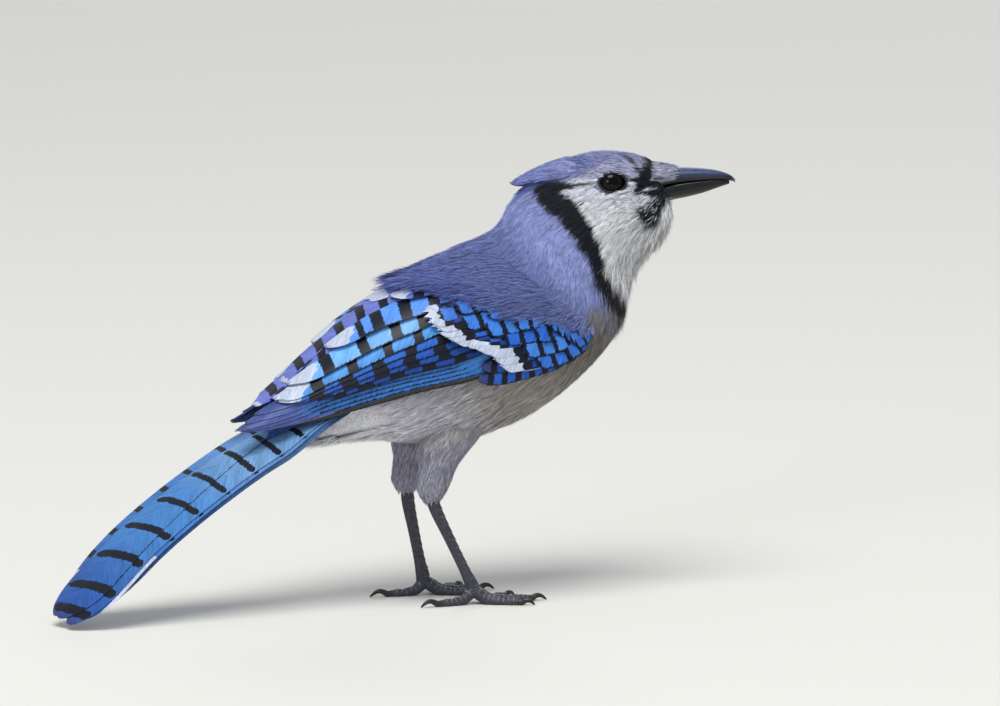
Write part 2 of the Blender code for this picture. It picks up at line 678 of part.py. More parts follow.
def build_wing(bird, finish, side, label):
    """A folded wing: tiers of overlapping feathers joined over a core, cut clear of the body."""
    surface = one_side(sheath_point, side)
    psi = np.arange(WING_SIDES) * 2 * math.pi / WING_SIDES
    rings = []
    for a, low, high, swell in WING_CORE:
        b = (low + high) / 2 + (high - low) / 2 * np.cos(psi)
        swollen = WING_CORE_HALF * swell * np.sign(np.sin(psi)) * np.abs(np.sin(psi)) ** 0.7
        rings.append(surface(np.full(WING_SIDES, a), b, swollen - WING_CORE_DEPTH))
    wing = loft(f"wing_{label}", rings, bird, finish)
    pieces = new_collection("wing pieces")
    for feathers, lift, tilt, rows in WING_TIERS:
        for root, tip, width in feathers:
            vane(surface, root, tip, width, lift, tilt, pieces, rows=rows, tip_start=0.8)
    combine(wing, pieces, "UNION", "MANIFOLD")
    cutters = new_collection("wing cutters", hidden=True)
    loft("body clearance", body_rings(WING_CLEAR_FROM, RUMP_END, 22, rise=GAP), cutters)
    combine(wing, cutters, "DIFFERENCE", "MANIFOLD")
    keep_largest(wing)


def limb_rings(stations, centre_y, drop=0.0):
    """Oval rings of a leg along its stations; drop raises the front of the first, and less and less."""
    psi = np.arange(LIMB_SIDES) * 2 * math.pi / LIMB_SIDES
    rings = []
    for (x, z, depth, width), lean in zip(stations, np.linspace(drop, 0.0, len(stations))):
        across = centre_y + width * np.sin(psi)
        rings.append(np.stack([x + depth * np.cos(psi), across, z + depth * lean * np.cos(psi)], -1))
    return rings


def build_foot(bird, skin, horn, side, label, joint):
    """Four toes from one joint, each with a claw of its own; their undersides are flat on the floor."""
    foot = None
    pieces = new_collection("toes")
    share, radii, heights = TOE_ROWS.T
    bend = np.linspace(0, 1, CLAW_STEPS)
    arch = 0.15 * np.sin(math.pi * np.clip(bend * 1.25 - 0.25, 0, 1))
    for name, heading, length, claw in TOES:
        aim = math.radians(heading)
        ahead = np.array([math.cos(aim), side * math.sin(aim), 0.0])
        line = joint + ahead * (share * length)[:, None]
        line[:, 2] = heights
        toe = tube(f"toe {name}", line, radii, pieces if foot else bird, skin)
        foot = foot or toe
        claw_line = line[-1] + ahead * (GAP + claw * 0.88 * bend)[:, None]
        claw_line[:, 2] = heights[-1] + claw * arch - 0.75 * bend**2
        claw_line[1, 2] = heights[-1]
        thick = CLAW_THICK * (1 - bend) ** 0.6 + CLAW_POINT
        nail = tube(f"claw_{label}_{name}", claw_line, thick, bird, horn)
        flatten(nail)
    foot.name = f"foot_{label}"
    combine(foot, pieces, "UNION", "MANIFOLD")
    flatten(foot)
    keep_largest(foot)


def cut_at_floor(node):
    """Takes off what reaches below the floor, which leaves small flats at its level."""
    below = new_collection("below the floor", hidden=True)
    reach, depth = 400.0, 20.0
    corners = [(x * reach, y * reach) for x, y in ((-1, -1), (1, -1), (1, 1), (-1, 1))]
    loft("below", [[(x, y, z) for x, y in corners] for z in (-depth, 0.0)], below)
    combine(node, below, "DIFFERENCE", "MANIFOLD")


def flatten(node):
    """Presses what would reach below the floor up to its level."""
    for vertex in node.data.vertices:
        vertex.co.z = max(vertex.co.z, 0.0)


def smooth(node):
    """Shades the round surfaces of a finished node smooth, and keeps its real edges sharp."""
    node.data.shade_smooth()
    node.data.set_sharp_from_angle(angle=SMOOTH_UP_TO)


def build_leg(bird, coat, skin, horn, side, label):
    back = LEFT_FOOT_BACK if side == LEFT else 0.0
    thigh = loft(f"thigh_{label}", limb_rings(THIGH, side * LEG_Y, THIGH_LEAN), bird, coat)
    cutters = new_collection("thigh cutters", hidden=True)
    loft("body clearance", body_rings(NECK_END, RUMP_END, 18, rise=GAP), cutters)
    combine(thigh, cutters, "DIFFERENCE", "MANIFOLD")
    keep_largest(thigh)
    top = SHANK[0][1]
    length = top - SHANK[-1][1]
    shank = [(x - back * (top - z) / length, z, depth, width) for x, z, depth, width in SHANK]
    loft(f"shank_{label}", limb_rings(shank, side * LEG_Y), bird, skin)
    joint = np.array([FOOT_JOINT[0] - back, side * LEG_Y, FOOT_JOINT[1]])
    build_foot(bird, skin, horn, side, label, joint)


def main():
    for old in list(bpy.data.objects):
        bpy.data.objects.remove(old)
    bird = new_collection("blue jay")
    coat = material("grey breast feathers", (0.42, 0.40, 0.38), 0.85)
    blue = material("violet blue feathers", (0.16, 0.20, 0.52), 0.75)
    vivid = material("barred blue feathers", (0.04, 0.17, 0.62), 0.6)
    leg = material("dark scaled skin", (0.05, 0.055, 0.065), 0.55)
    horn = material("black horn", (0.015, 0.017, 0.022), 0.3)
    wet = material("dark eye", (0.012, 0.008, 0.006), 0.08)
    build_head(bird, blue)
    build_bill(bird, horn)
    build_eyes(bird, wet)
    build_trunk(bird, coat)
    build_tail(bird, vivid)
    for side, label in SIDES:
        build_wing(bird, vivid, side, label)
        build_leg(bird, coat, leg, horn, side, label)
    for node in bird.objects:
        smooth(node)


main()
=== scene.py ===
"""Blue jay, life size and still: one skin under a coat of small feathers, with finer flight feathers,
bill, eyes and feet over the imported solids."""

import math

import bpy
import numpy as np
from mathutils import Matrix, Vector


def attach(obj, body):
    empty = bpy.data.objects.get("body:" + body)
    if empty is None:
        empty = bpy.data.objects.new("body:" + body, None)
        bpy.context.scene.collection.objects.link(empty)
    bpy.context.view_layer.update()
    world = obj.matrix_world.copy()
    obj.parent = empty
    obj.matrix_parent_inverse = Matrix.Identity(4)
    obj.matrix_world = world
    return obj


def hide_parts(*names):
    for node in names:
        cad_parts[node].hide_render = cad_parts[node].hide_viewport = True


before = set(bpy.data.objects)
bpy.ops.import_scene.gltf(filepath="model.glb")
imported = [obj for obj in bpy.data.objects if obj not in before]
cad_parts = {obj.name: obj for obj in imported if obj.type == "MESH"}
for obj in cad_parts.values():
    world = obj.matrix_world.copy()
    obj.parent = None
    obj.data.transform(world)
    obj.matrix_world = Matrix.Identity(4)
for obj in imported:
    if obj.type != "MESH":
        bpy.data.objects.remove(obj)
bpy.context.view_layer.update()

MM = 0.001
RIGHT, LEFT = -1, 1
SIDES = ((RIGHT, "right"), (LEFT, "left"))

# The drawing: the bird seen straight from the side, facing +X, in millimetres, as the solids have it.
BODY = (
    ((64.2, 142.6), (66.8, 130.6), 5.6, 0.05),
    ((60.5, 144.8), (69.4, 126.6), 8.0, 0.05),
    ((55.5, 146.2), (67.5, 120.5), 10.0, 0.08),
    ((49.5, 146.8), (63.5, 115.0), 11.4, 0.08),
    ((42.0, 146.4), (59.5, 111.0), 12.4, 0.05),
    ((35.5, 144.6), (56.5, 106.5), 12.8, 0.0),
    ((28.0, 141.0), (54.8, 102.0), 13.0, 0.0),
    ((20.5, 136.0), (54.0, 98.0), 13.6, -0.05),
    ((14.0, 130.5), (53.0, 92.5), 15.5, -0.08),
    ((8.8, 124.5), (50.5, 86.0), 18.0, -0.12),
    ((2.5, 120.2), (44.0, 78.5), 20.5, -0.16),
    ((-7.0, 116.3), (34.5, 70.3), 22.0, -0.20),
    ((-18.0, 110.5), (22.0, 62.3), 22.5, -0.24),
    ((-29.0, 102.5), (6.0, 56.2), 21.8, -0.26),
    ((-40.0, 92.5), (-12.0, 53.6), 19.5, -0.24),
    ((-51.0, 81.0), (-30.0, 53.4), 15.0, -0.18),
    ((-60.0, 71.0), (-46.0, 54.0), 10.0, -0.10),
    ((-66.3, 64.2), (-62.6, 55.0), 7.0, 0.0),
)
BODY_END = len(BODY) - 1
BODY_TABLE = np.array([[*top, *bottom, width, full] for top, bottom, width, full in BODY])
HEAD_TURN = math.radians(22)
NECK_PIVOT = (35.6, 112.0)
NECK_RISE = math.radians(44)
NECK_TURN_FROM, NECK_TURN_TO = -18.0, 4.0
ROW_X = -31.52

SHEATH = (
    ((36, 88), (18, 112.5), 20),
    ((22, 80.5), (3, 116.2), 25),
    ((-2, 75.6), (-17.3, 110.6), 27),
    ((-27, 72.6), (-37, 101), 24.5),
    ((-48, 68.7), (-54.5, 87), 18.5),
    ((-66, 64.5), (-70.5, 73.5), 13),
    ((-84.3, 59.6), (-86, 62.8), 9.5),
)
SHEATH_TABLE = np.array([[*low, *ridge, width] for low, ridge, width in SHEATH], float)
RIDGE = 0.985
OVER_THE_BACK = 40.0

TAIL_LINE = (
    (-66, 61.6), (-80.3, 54.9), (-94.5, 46.4), (-108.1, 37.2), (-120.7, 27.4), (-133.3, 15.4),
    (-148.4, 2.2),
)
TAIL_LENGTH = float(np.linalg.norm(np.diff(TAIL_LINE, axis=0), axis=1).sum())
TAIL_ROLL = math.radians(12)
TAIL_ARCH, TAIL_STEP = 110, 0.02

EYE_CENTRE = np.array((49.0, 6.1, 136.9))
EYE_RADIUS = 5.4
EYE_AXIS = np.array((0.09, 0.983, 0.158))
# The lids' opening: its middle in the side view, and its half sizes.
EYE_OPENING_AT = (49.5, 137.75)
EYE_OPENING = (4.1, 2.95)

# Tapered forms on the head, as rows of (x, top, bottom, half width): the crest, the bristles that lie forward
# over the bill, and the beard of the chin.
CREST = np.array([
    (43, 143.6, 139, 5.5), (35.5, 144.9, 136.6, 8.3), (29, 143.2, 135.2, 7.4), (22.4, 140.3, 134.7, 4.9),
    (18.0, 137.9, 134.7, 2.6), (16.0, 136.6, 135.4, 0.9),
])
BRISTLES = np.array([
    (62.0, 144.4, 133.6, 8.9), (64.6, 143.4, 134.4, 7.3), (67.2, 142.7, 135.2, 5.8), (70, 142.1, 136.0, 4.7),
    (72.5, 141.8, 136.8, 4.0), (75, 141.6, 137.2, 3.5),
])
CHIN = np.array([
    (60.5, 135, 125.0, 9.4), (63.8, 134.6, 126.9, 7.9), (67, 134.6, 128.9, 5.9), (70, 134.8, 130.2, 4.4),
    (73, 135.2, 130.9, 3.7),
])

LEG_Y = 11.5
THIGH = (
    (-8, 64, 9, 5), (-10.5, 57.5, 11, 6.2), (-12.5, 53, 10.5, 6.2), (-14.8, 48, 7.4, 5.2),
    (-16.4, 44, 6.1, 4.5), (-17.5, 40, 5.5, 4), (-17.9, 37, 4.2, 3.1), (-18.1, 35.2, 3, 2.3),
)
THIGH_LEAN = 0.3
SHANK = (
    (-18.2, 36.4, 2.2, 1.6), (-16.2, 31, 2.2, 1.5), (-11.5, 21.5, 1.9, 1.4), (-7, 12.5, 1.9, 1.4),
    (-4.4, 7.4, 2.3, 1.7), (-3.4, 4.4, 2.1, 1.7),
)
LEFT_FOOT_BACK = 8.0


def linear(code):
    """The linear colour of an sRGB hex code."""
    value = np.array([int(code[k : k + 2], 16) for k in (1, 3, 5)]) / 255
    return np.where(value <= 0.04045, value / 12.92, ((value + 0.055) / 1.055) ** 2.4)


def smoothstep(value):
    """3s^2 - 2s^3 of a value held between 0 and 1."""
    value = np.clip(value, 0.0, 1.0)
    return value * value * (3.0 - 2.0 * value)


def catmull_rom(rows, t):
    """The smooth curve through rows at t, where whole numbers are the rows themselves; it runs on straight
    past both ends."""
    rows = np.asarray(rows, float)
    whole = np.asarray(t, float)
    t = np.clip(whole, 0.0, len(rows) - 1.0)
    past = np.maximum(whole - t, 0)[..., None] * (rows[-1] - rows[-2])
    past += np.minimum(whole - t, 0)[..., None] * (rows[1] - rows[0])
    first = np.minimum(t.astype(int), len(rows) - 2)
    f = (t - first)[..., None]
    padded = np.vstack([2 * rows[0] - rows[1], rows, 2 * rows[-1] - rows[-2]])
    a, b, c, d = (padded[first + k] for k in range(4))
    linear_part = 2 * b + (c - a) * f
    return past + 0.5 * (linear_part + (2 * a - 5 * b + 4 * c - d) * f**2 + (3 * b - 3 * c + d - a) * f**3)


def body_point(t, theta, rise=0.0):
    """Oval ring t of the trunk at angle theta (0 at the back, growing round the left side), pushed out
    by rise: the middle of the ring, plus its half height times cos, plus its half width times sin."""
    tx, tz, bx, bz, width, full = np.moveaxis(catmull_rom(BODY_TABLE, t), -1, 0)
    width = np.maximum(width, 3.0)
    half_x, half_z = (tx - bx) / 2, (tz - bz) / 2
    height = np.hypot(half_x, half_z)
    stretch = (height + rise) / height
    up, side = np.cos(theta), np.sin(theta)
    x = (tx + bx) / 2 + half_x * stretch * up
    z = (tz + bz) / 2 + half_z * stretch * up
    y = (width * (1 + full * up) + rise) * side
    return np.stack([x, y, z], -1)


def on_side(x, z):
    """The ring and angle at which the trunk's left side passes through (x, z) of the drawing, by Newton's
    steps from the middle of the face."""
    t, theta = np.full(np.shape(x), 3.2), np.full(np.shape(x), 1.2)
    step = 1e-3
    for _ in range(12):
        here = body_point(t, theta)
        by_t = (body_point(t + step, theta) - here) / step
        by_theta = (body_point(t, theta + step) - here) / step
        miss_x, miss_z = x - here[..., 0], z - here[..., 2]
        det = by_t[..., 0] * by_theta[..., 2] - by_t[..., 2] * by_theta[..., 0]
        t = t + (miss_x * by_theta[..., 2] - miss_z * by_theta[..., 0]) / det
        theta = theta + (miss_z * by_t[..., 0] - miss_x * by_t[..., 2]) / det
    return t, theta


EYE_RING, EYE_ANGLE = (float(value) for value in on_side(*np.array(EYE_OPENING_AT)))


def within_half_turn(theta):
    """The same angle, between minus and plus half a turn."""
    return (theta + math.pi) % (2 * math.pi) - math.pi


def bell(value, middle, reach):
    """A bell of height 1 round middle: e to the power of minus the square of (value - middle) / reach."""
    return np.exp(-(((value - middle) / reach) ** 2))


def eye_bell(t, side, t_reach, side_reach):
    """A bell of height 1 over the eye's place on the trunk."""
    return np.exp(-(((t - EYE_RING) / t_reach) ** 2) - ((side - EYE_ANGLE) / side_reach) ** 2)


# Millimetres by which the coat sinks behind the crest, beside the tail's root and between belly and vent, and
# by which it swells over the eye.
NAPE_HOLLOW, FLANK_HOLLOW, VENT_HOLLOW, EYE_SWELL = 2.4, 3.6, 3.2, 0.8


def hollow(t, theta):
    """Millimetres that the coat lies under its ring: behind the crest, where the tail's root crosses the
    flank, and between belly and vent; over the eye it swells instead. Each is a bell along the trunk and
    round it."""
    side = np.abs(within_half_turn(theta))
    nape = NAPE_HOLLOW * bell(t, 8.75, 1.15) * bell(side, 0.0, 0.85)
    flank = FLANK_HOLLOW * smoothstep((t - 14.2) / 1.6) * bell(side, 1.65, 0.6)
    vent = VENT_HOLLOW * bell(t, 15.4, 0.9) * bell(side, math.pi, 0.8)
    return nape + flank + vent - EYE_SWELL * eye_bell(t, side, 0.85, 0.39)


def coat_point(t, theta, rise=0.0):
    """The trunk's surface as the coat has it."""
    return body_point(t, theta, rise - hollow(t, theta))


def tapered(table):
    """The surface round a tapered form: oval ring s of its table at angle psi (0 on top), pushed out by
    rise."""
    def surface(s, psi, rise=0.0):
        x, top, bottom, width = np.moveaxis(catmull_rom(table, s), -1, 0)
        x = x + 0 * psi
        y = (np.maximum(width, 0.2) + rise) * np.sin(psi)
        z = (top + bottom) / 2 + ((top - bottom) / 2 + rise) * np.cos(psi)
        return np.stack([x, y, z], -1)
    return surface


def sheath_point(a, b, rise=0.0):
    """The left folded wing: row a from the wrist to the tip, and b from its lower edge (0) over the side
    to the ridge (1), as a quarter of a full oval pushed out by rise."""
    lx, lz, rx, rz, width = np.moveaxis(catmull_rom(SHEATH_TABLE, np.asarray(a) * (len(SHEATH) - 1)), -1, 0)
    angle = np.minimum(b, RIDGE) * math.pi / 2
    up = np.abs(np.sin(angle)) ** 0.9 * np.sign(np.sin(angle))
    side = np.abs(np.cos(angle)) ** 0.9
    length = np.hypot(rx - lx, rz - lz)
    x = lx + (rx - lx) * up * (length + rise) / length
    z = lz + (rz - lz) * up * (length + rise) / length
    return np.stack([x, (width + rise) * side, z], -1)


def tail_point(u, v, rise=0.0):
    """The tail's surface: u along its line, v millimetres across, rise above it; it arches down to both
    sides and rolls a little."""
    u, v, rise = np.broadcast_arrays(np.asarray(u, float), v, rise)
    last = len(TAIL_LINE) - 1
    inside = np.clip(u, TAIL_STEP, 1 - TAIL_STEP)
    ahead = catmull_rom(TAIL_LINE, (inside + TAIL_STEP) * last)
    behind = catmull_rom(TAIL_LINE, (inside - TAIL_STEP) * last)
    along = (ahead - behind) / np.linalg.norm(ahead - behind, axis=-1)[..., None]
    over = (u - np.clip(u, 0, 1)) * TAIL_LENGTH
    x, z = np.moveaxis(catmull_rom(TAIL_LINE, np.clip(u, 0, 1) * last) + along * over[..., None], -1, 0)
    roll = TAIL_ROLL * smoothstep((u + 0.15) * 4)
    height = rise - v**2 / (2 * TAIL_ARCH)
    side = v * np.cos(roll) - height * np.sin(roll)
    up = v * np.sin(roll) + height * np.cos(roll)
    return np.stack([x + along[..., 1] * up, side, z - along[..., 0] * up], -1)


def thigh_point(s, psi, rise=0.0, side=RIGHT):
    """Oval ring s of a thigh at angle psi (0 in front, growing outwards), pushed out by rise."""
    x, z, depth, width = np.moveaxis(catmull_rom(np.array(THIGH, float), s), -1, 0)
    lean = THIGH_LEAN * (1 - np.asarray(s) / (len(THIGH) - 1))
    forward = (depth + rise) * np.cos(psi)
    return np.stack([x + forward, side * (LEG_Y + (width + rise) * np.sin(psi)), z + lean * forward], -1)


def place(points):
    """From the straight drawing to the row's own frame in metres, with the head turned to its right."""
    points = np.asarray(points, float)
    x, y, z = np.moveaxis(points, -1, 0)
    along = (x - NECK_PIVOT[0]) * math.cos(NECK_RISE) + (z - NECK_PIVOT[1]) * math.sin(NECK_RISE)
    turn = -HEAD_TURN * smoothstep((along - NECK_TURN_FROM) / (NECK_TURN_TO - NECK_TURN_FROM))
    forward = x - NECK_PIVOT[0]
    turned_x = NECK_PIVOT[0] + forward * np.cos(turn) - y * np.sin(turn)
    turned_y = forward * np.sin(turn) + y * np.cos(turn)
    return np.stack([turned_x - ROW_X, turned_y, z], -1) * MM


def wing_surface(side):
    """One folded wing's surface; past the ridge it runs on level over the back, where the right wing lies on
    the left one."""
    def surface(a, b, rise=0.0):
        points = sheath_point(a, b, rise + (0.25 if side == RIGHT else 0.0))
        points[..., 1] -= np.maximum(b - RIDGE, 0) * OVER_THE_BACK
        return points * np.array([1, side, 1])
    return surface


def unit(vectors):
    """Each vector divided by its length."""
    return vectors / np.maximum(np.linalg.norm(vectors, axis=-1, keepdims=True), 1e-9)


def mixed(first, second, share):
    """The colours between first and second, by share."""
    share = np.asarray(share)[..., None]
    return first * (1 - share) + second * share


# Meshes


def mesh_piece(name, points, faces, material, uv=None, colour=None, fields=None):
    """An object from points of the drawing, faces as a list of index arrays (one for each number of
    corners), a place on the bake map for each point, and a colour and other fields for each."""
    points = place(np.reshape(points, (-1, 3)))
    mesh = bpy.data.meshes.new(name)
    mesh.vertices.add(len(points))
    mesh.vertices.foreach_set("co", points.astype(np.float32).ravel())
    corners = np.concatenate([np.asarray(f, np.int32).ravel() for f in faces])
    sizes = np.concatenate([np.full(len(f), np.shape(f)[1], np.int32) for f in faces])
    mesh.loops.add(len(corners))
    mesh.loops.foreach_set("vertex_index", corners)
    mesh.polygons.add(len(sizes))
    mesh.polygons.foreach_set("loop_start", np.concatenate([[0], np.cumsum(sizes)[:-1]]).astype(np.int32))
    mesh.polygons.foreach_set("use_smooth", np.ones(len(sizes), bool))
    mesh.update(calc_edges=True)
    if uv is not None:
        layer = mesh.uv_layers.new(name="OFBake")
        layer.data.foreach_set("uv", np.asarray(uv, np.float32).reshape(-1, 2)[corners].ravel())
    if colour is not None:
        tint = mesh.attributes.new("tint", "FLOAT_COLOR", "POINT")
        rgba = np.ones((len(points), 4), np.float32)
        rgba[:, :3] = np.asarray(colour).reshape(-1, 3)
        tint.data.foreach_set("color", rgba.ravel())
    for field, values in (fields or {}).items():
        layer = mesh.attributes.new(field, "FLOAT_VECTOR", "POINT")
        layer.data.foreach_set("vector", np.asarray(values, np.float32).reshape(-1, 3).ravel())
    mesh.materials.append(material)
    piece = bpy.data.objects.new(name, mesh)
    bpy.context.scene.collection.objects.link(piece)
    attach(piece, "root")
    return piece


def grid_faces(rows, columns, start=0, wrap=False, flip=False):
    """Quads of a grid of rows by columns of points; wrap joins the last column to the first."""
    i, j = np.meshgrid(np.arange(rows - 1), np.arange(columns if wrap else columns - 1), indexing="ij")
    k = (j + 1) % columns
    quads = np.stack([i * columns + j, i * columns + k, (i + 1) * columns + k, (i + 1) * columns + j], -1)
    quads = quads.reshape(-1, 4) + start
    return quads[:, ::-1] if flip else quads


def closed_tube(rings, flip=False, cut=False):
    """Points and faces of rings of points joined into a tube, with a point at the middle of each end. With
    cut, each ring's last point repeats its first, so that the bake map can be cut there."""
    rows, columns = rings.shape[:2]
    count = columns - 1 if cut else columns
    around = np.arange(count)
    after = (around + 1) % columns
    base = (rows - 1) * columns
    first = np.stack([after, around, np.full(count, rows * columns)], -1)
    last = np.stack([base + around, base + after, np.full(count, rows * columns + 1)], -1)
    tris = np.concatenate([first, last])
    ends = [rings[end, :count].mean(0)[None] for end in (0, -1)]
    points = np.concatenate([rings.reshape(-1, 3), *ends])
    return points, [grid_faces(rows, columns, wrap=not cut, flip=flip), tris[:, ::-1] if flip else tris]


def joined(parts):
    """One list of points and one of faces from several (points, faces)."""
    points, quads, tris, start = [], [], [], 0
    for part_points, part_faces in parts:
        points.append(np.reshape(part_points, (-1, 3)))
        for group in part_faces:
            (quads if np.shape(group)[1] == 4 else tris).append(np.asarray(group) + start)
        start += len(points[-1])
    faces = [np.concatenate(group) for group in (quads, tris) if group]
    return np.concatenate(points), faces


# Materials


def node(tree, kind, links=(), **settings):
    """Adds one node; a setting whose name starts with in_ fills the input of that number or name, and links
    are (output, input) pairs into it."""
    made = tree.nodes.new(kind)
    for key, value in settings.items():
        if key.startswith("in_"):
            name = key[3:]
            made.inputs[int(name) if name.isdigit() else name.replace("_", " ")].default_value = value
        else:
            setattr(made, key, value)
    for source, target in links:
        tree.links.new(source, made.inputs[target])
    return made


def new_material(name, **sockets):
    """A material whose Principled shader has the named sockets set; gives the material, tree and shader."""
    material = bpy.data.materials.new(name)
    material.use_nodes = True
    tree = material.node_tree
    shader = tree.nodes["Principled BSDF"]
    for key, value in sockets.items():
        if isinstance(value, str):
            value = (*linear(value), 1.0)
        shader.inputs[key.replace("_", " ")].default_value = value
    return material, tree, shader


# A noise texture's values lie mostly in this span, which a Map Range node stretches over its own.
NOISE_SPAN = {"in_1": 0.3, "in_2": 0.7}


def tint_shader(tree, shader, tone):
    """The piece's own colours, made darker or lighter by tone, as the shader's base colour."""
    tint = node(tree, "ShaderNodeAttribute", attribute_name="tint")
    varied = node(tree, "ShaderNodeVectorMath",
                  [(tint.outputs["Color"], 0), (tone.outputs["Result"], "Scale")], operation="SCALE")
    tree.links.new(varied.outputs["Vector"], shader.inputs["Base Color"])


def barb_material():
    """Small body feathers: soft loose barbs of keratin. Each barb has its own tone, with a dull sheen along
    its back and no gloss."""
    material, tree, shader = new_material("contour_feather_barbs", Roughness=0.62, Specular_IOR_Level=0.25)
    shader.inputs["Sheen Weight"].default_value = 0.25
    shader.inputs["Sheen Roughness"].default_value = 0.4
    where = node(tree, "ShaderNodeTexCoord")
    # Mottling about 1.5 mm across.
    mottle = node(tree, "ShaderNodeTexNoise", [(where.outputs["Object"], "Vector")],
                  in_Scale=650.0, in_Detail=3.0)
    tone = node(tree, "ShaderNodeMapRange", [(mottle.outputs["Fac"], "Value")], **NOISE_SPAN,
                in_3=0.86, in_4=1.14)
    tint_shader(tree, shader, tone)
    return material


# Millimetres by which a mark's edge wanders from barb to barb, and over which it blends.
EDGE_WANDER, EDGE_SOFT = 0.35, 0.12


def vane_material():
    """Flight feathers: flat webs of barbs hooked together, smooth as satin. The barbs show as fine slanted
    lines, and the bars and white tips have edges broken barb by barb."""
    material, tree, shader = new_material("flight_feather_web", Roughness=0.42, Specular_IOR_Level=0.26)
    shader.inputs["Sheen Weight"].default_value = 0.04
    tint = node(tree, "ShaderNodeAttribute", attribute_name="tint")
    web = node(tree, "ShaderNodeAttribute", attribute_name="web")
    marks = node(tree, "ShaderNodeAttribute", attribute_name="marks")
    # The barbs leave the shaft at a slant: web is (millimetres along, millimetres across, feather's number).
    parts = node(tree, "ShaderNodeSeparateXYZ", [(web.outputs["Vector"], 0)])
    away = node(tree, "ShaderNodeMath", [(parts.outputs["Y"], 0)], operation="ABSOLUTE")
    slant = node(tree, "ShaderNodeMath", [(away.outputs[0], 0), (parts.outputs["X"], 2)],
                 operation="MULTIPLY_ADD", in_1=-0.9)
    thin = node(tree, "ShaderNodeMath", [(parts.outputs["Y"], 0)], operation="MULTIPLY", in_1=0.12)
    seat = node(tree, "ShaderNodeCombineXYZ",
                [(slant.outputs[0], 0), (thin.outputs[0], 1), (parts.outputs["Z"], 2)])
    # Barbs are about 0.3 mm apart, drawn as groups of 0.5 mm so that they show.
    barbs = node(tree, "ShaderNodeTexNoise", [(seat.outputs[0], "Vector")], in_Scale=2.0, in_Detail=3.0,
                 in_Roughness=0.6)
    patches = node(tree, "ShaderNodeTexNoise", [(seat.outputs[0], "Vector")], in_Scale=0.22, in_Detail=2.0)
    tone = node(tree, "ShaderNodeMapRange", [(barbs.outputs["Fac"], "Value")], **NOISE_SPAN,
                in_3=0.72, in_4=1.26)
    wide = node(tree, "ShaderNodeMapRange", [(patches.outputs["Fac"], "Value")], **NOISE_SPAN,
                in_3=0.85, in_4=1.15)
    both = node(tree, "ShaderNodeMath", [(tone.outputs[0], 0), (wide.outputs[0], 1)], operation="MULTIPLY")
    base = node(tree, "ShaderNodeVectorMath", [(tint.outputs["Color"], 0), (both.outputs[0], "Scale")],
                operation="SCALE")
    ragged = node(tree, "ShaderNodeMapRange", [(barbs.outputs["Fac"], "Value")], **NOISE_SPAN,
                  in_3=-EDGE_WANDER, in_4=EDGE_WANDER)
    # marks is (millimetres to the dark bars and painted edge shadows, to the white tip, to the dark inner
    # web), under 0 inside.
    bounds = node(tree, "ShaderNodeSeparateXYZ", [(marks.outputs["Vector"], 0)])
    colour = base.outputs["Vector"]
    for axis, code in (("Z", "#101a32"), ("X", "#0c111f"), ("Y", "#b8c1d6")):
        edge = node(tree, "ShaderNodeMath", [(bounds.outputs[axis], 0), (ragged.outputs[0], 1)],
                    operation="ADD")
        within = node(tree, "ShaderNodeMapRange", [(edge.outputs[0], "Value")],
                      in_1=-EDGE_SOFT, in_2=EDGE_SOFT, in_3=1.0, in_4=0.0)
        toned = node(tree, "ShaderNodeVectorMath", [(both.outputs[0], "Scale")], operation="SCALE",
                     in_0=tuple(linear(code)))
        blend = node(tree, "ShaderNodeMix",
                     [(within.outputs[0], "Factor"), (colour, 6), (toned.outputs["Vector"], 7)],
                     data_type="RGBA")
        colour = blend.outputs[2]
    tree.links.new(colour, shader.inputs["Base Color"])
    bump = node(tree, "ShaderNodeBump", [(barbs.outputs["Fac"], "Height")],
                in_Strength=0.35, in_Distance=0.12 * MM)
    tree.links.new(bump.outputs["Normal"], shader.inputs["Normal"])
    return material


def skin_material():
    """The skin and its down under the coat: matt, in the coat's own markings but deeper in tone."""
    material, tree, shader = new_material("down_over_skin", Roughness=0.85, Specular_IOR_Level=0.1)
    where = node(tree, "ShaderNodeTexCoord")
    # Down in tufts about 0.7 mm across.
    fluff = node(tree, "ShaderNodeTexNoise", [(where.outputs["Object"], "Vector")],
                 in_Scale=1400.0, in_Detail=4.0)
    tone = node(tree, "ShaderNodeMapRange", [(fluff.outputs["Fac"], "Value")], **NOISE_SPAN,
                in_3=0.6, in_4=1.05)
    tint_shader(tree, shader, tone)
    bump = node(tree, "ShaderNodeBump", [(fluff.outputs["Fac"], "Height")],
                in_Strength=0.6, in_Distance=0.3 * MM)
    tree.links.new(bump.outputs["Normal"], shader.inputs["Normal"])
    return material


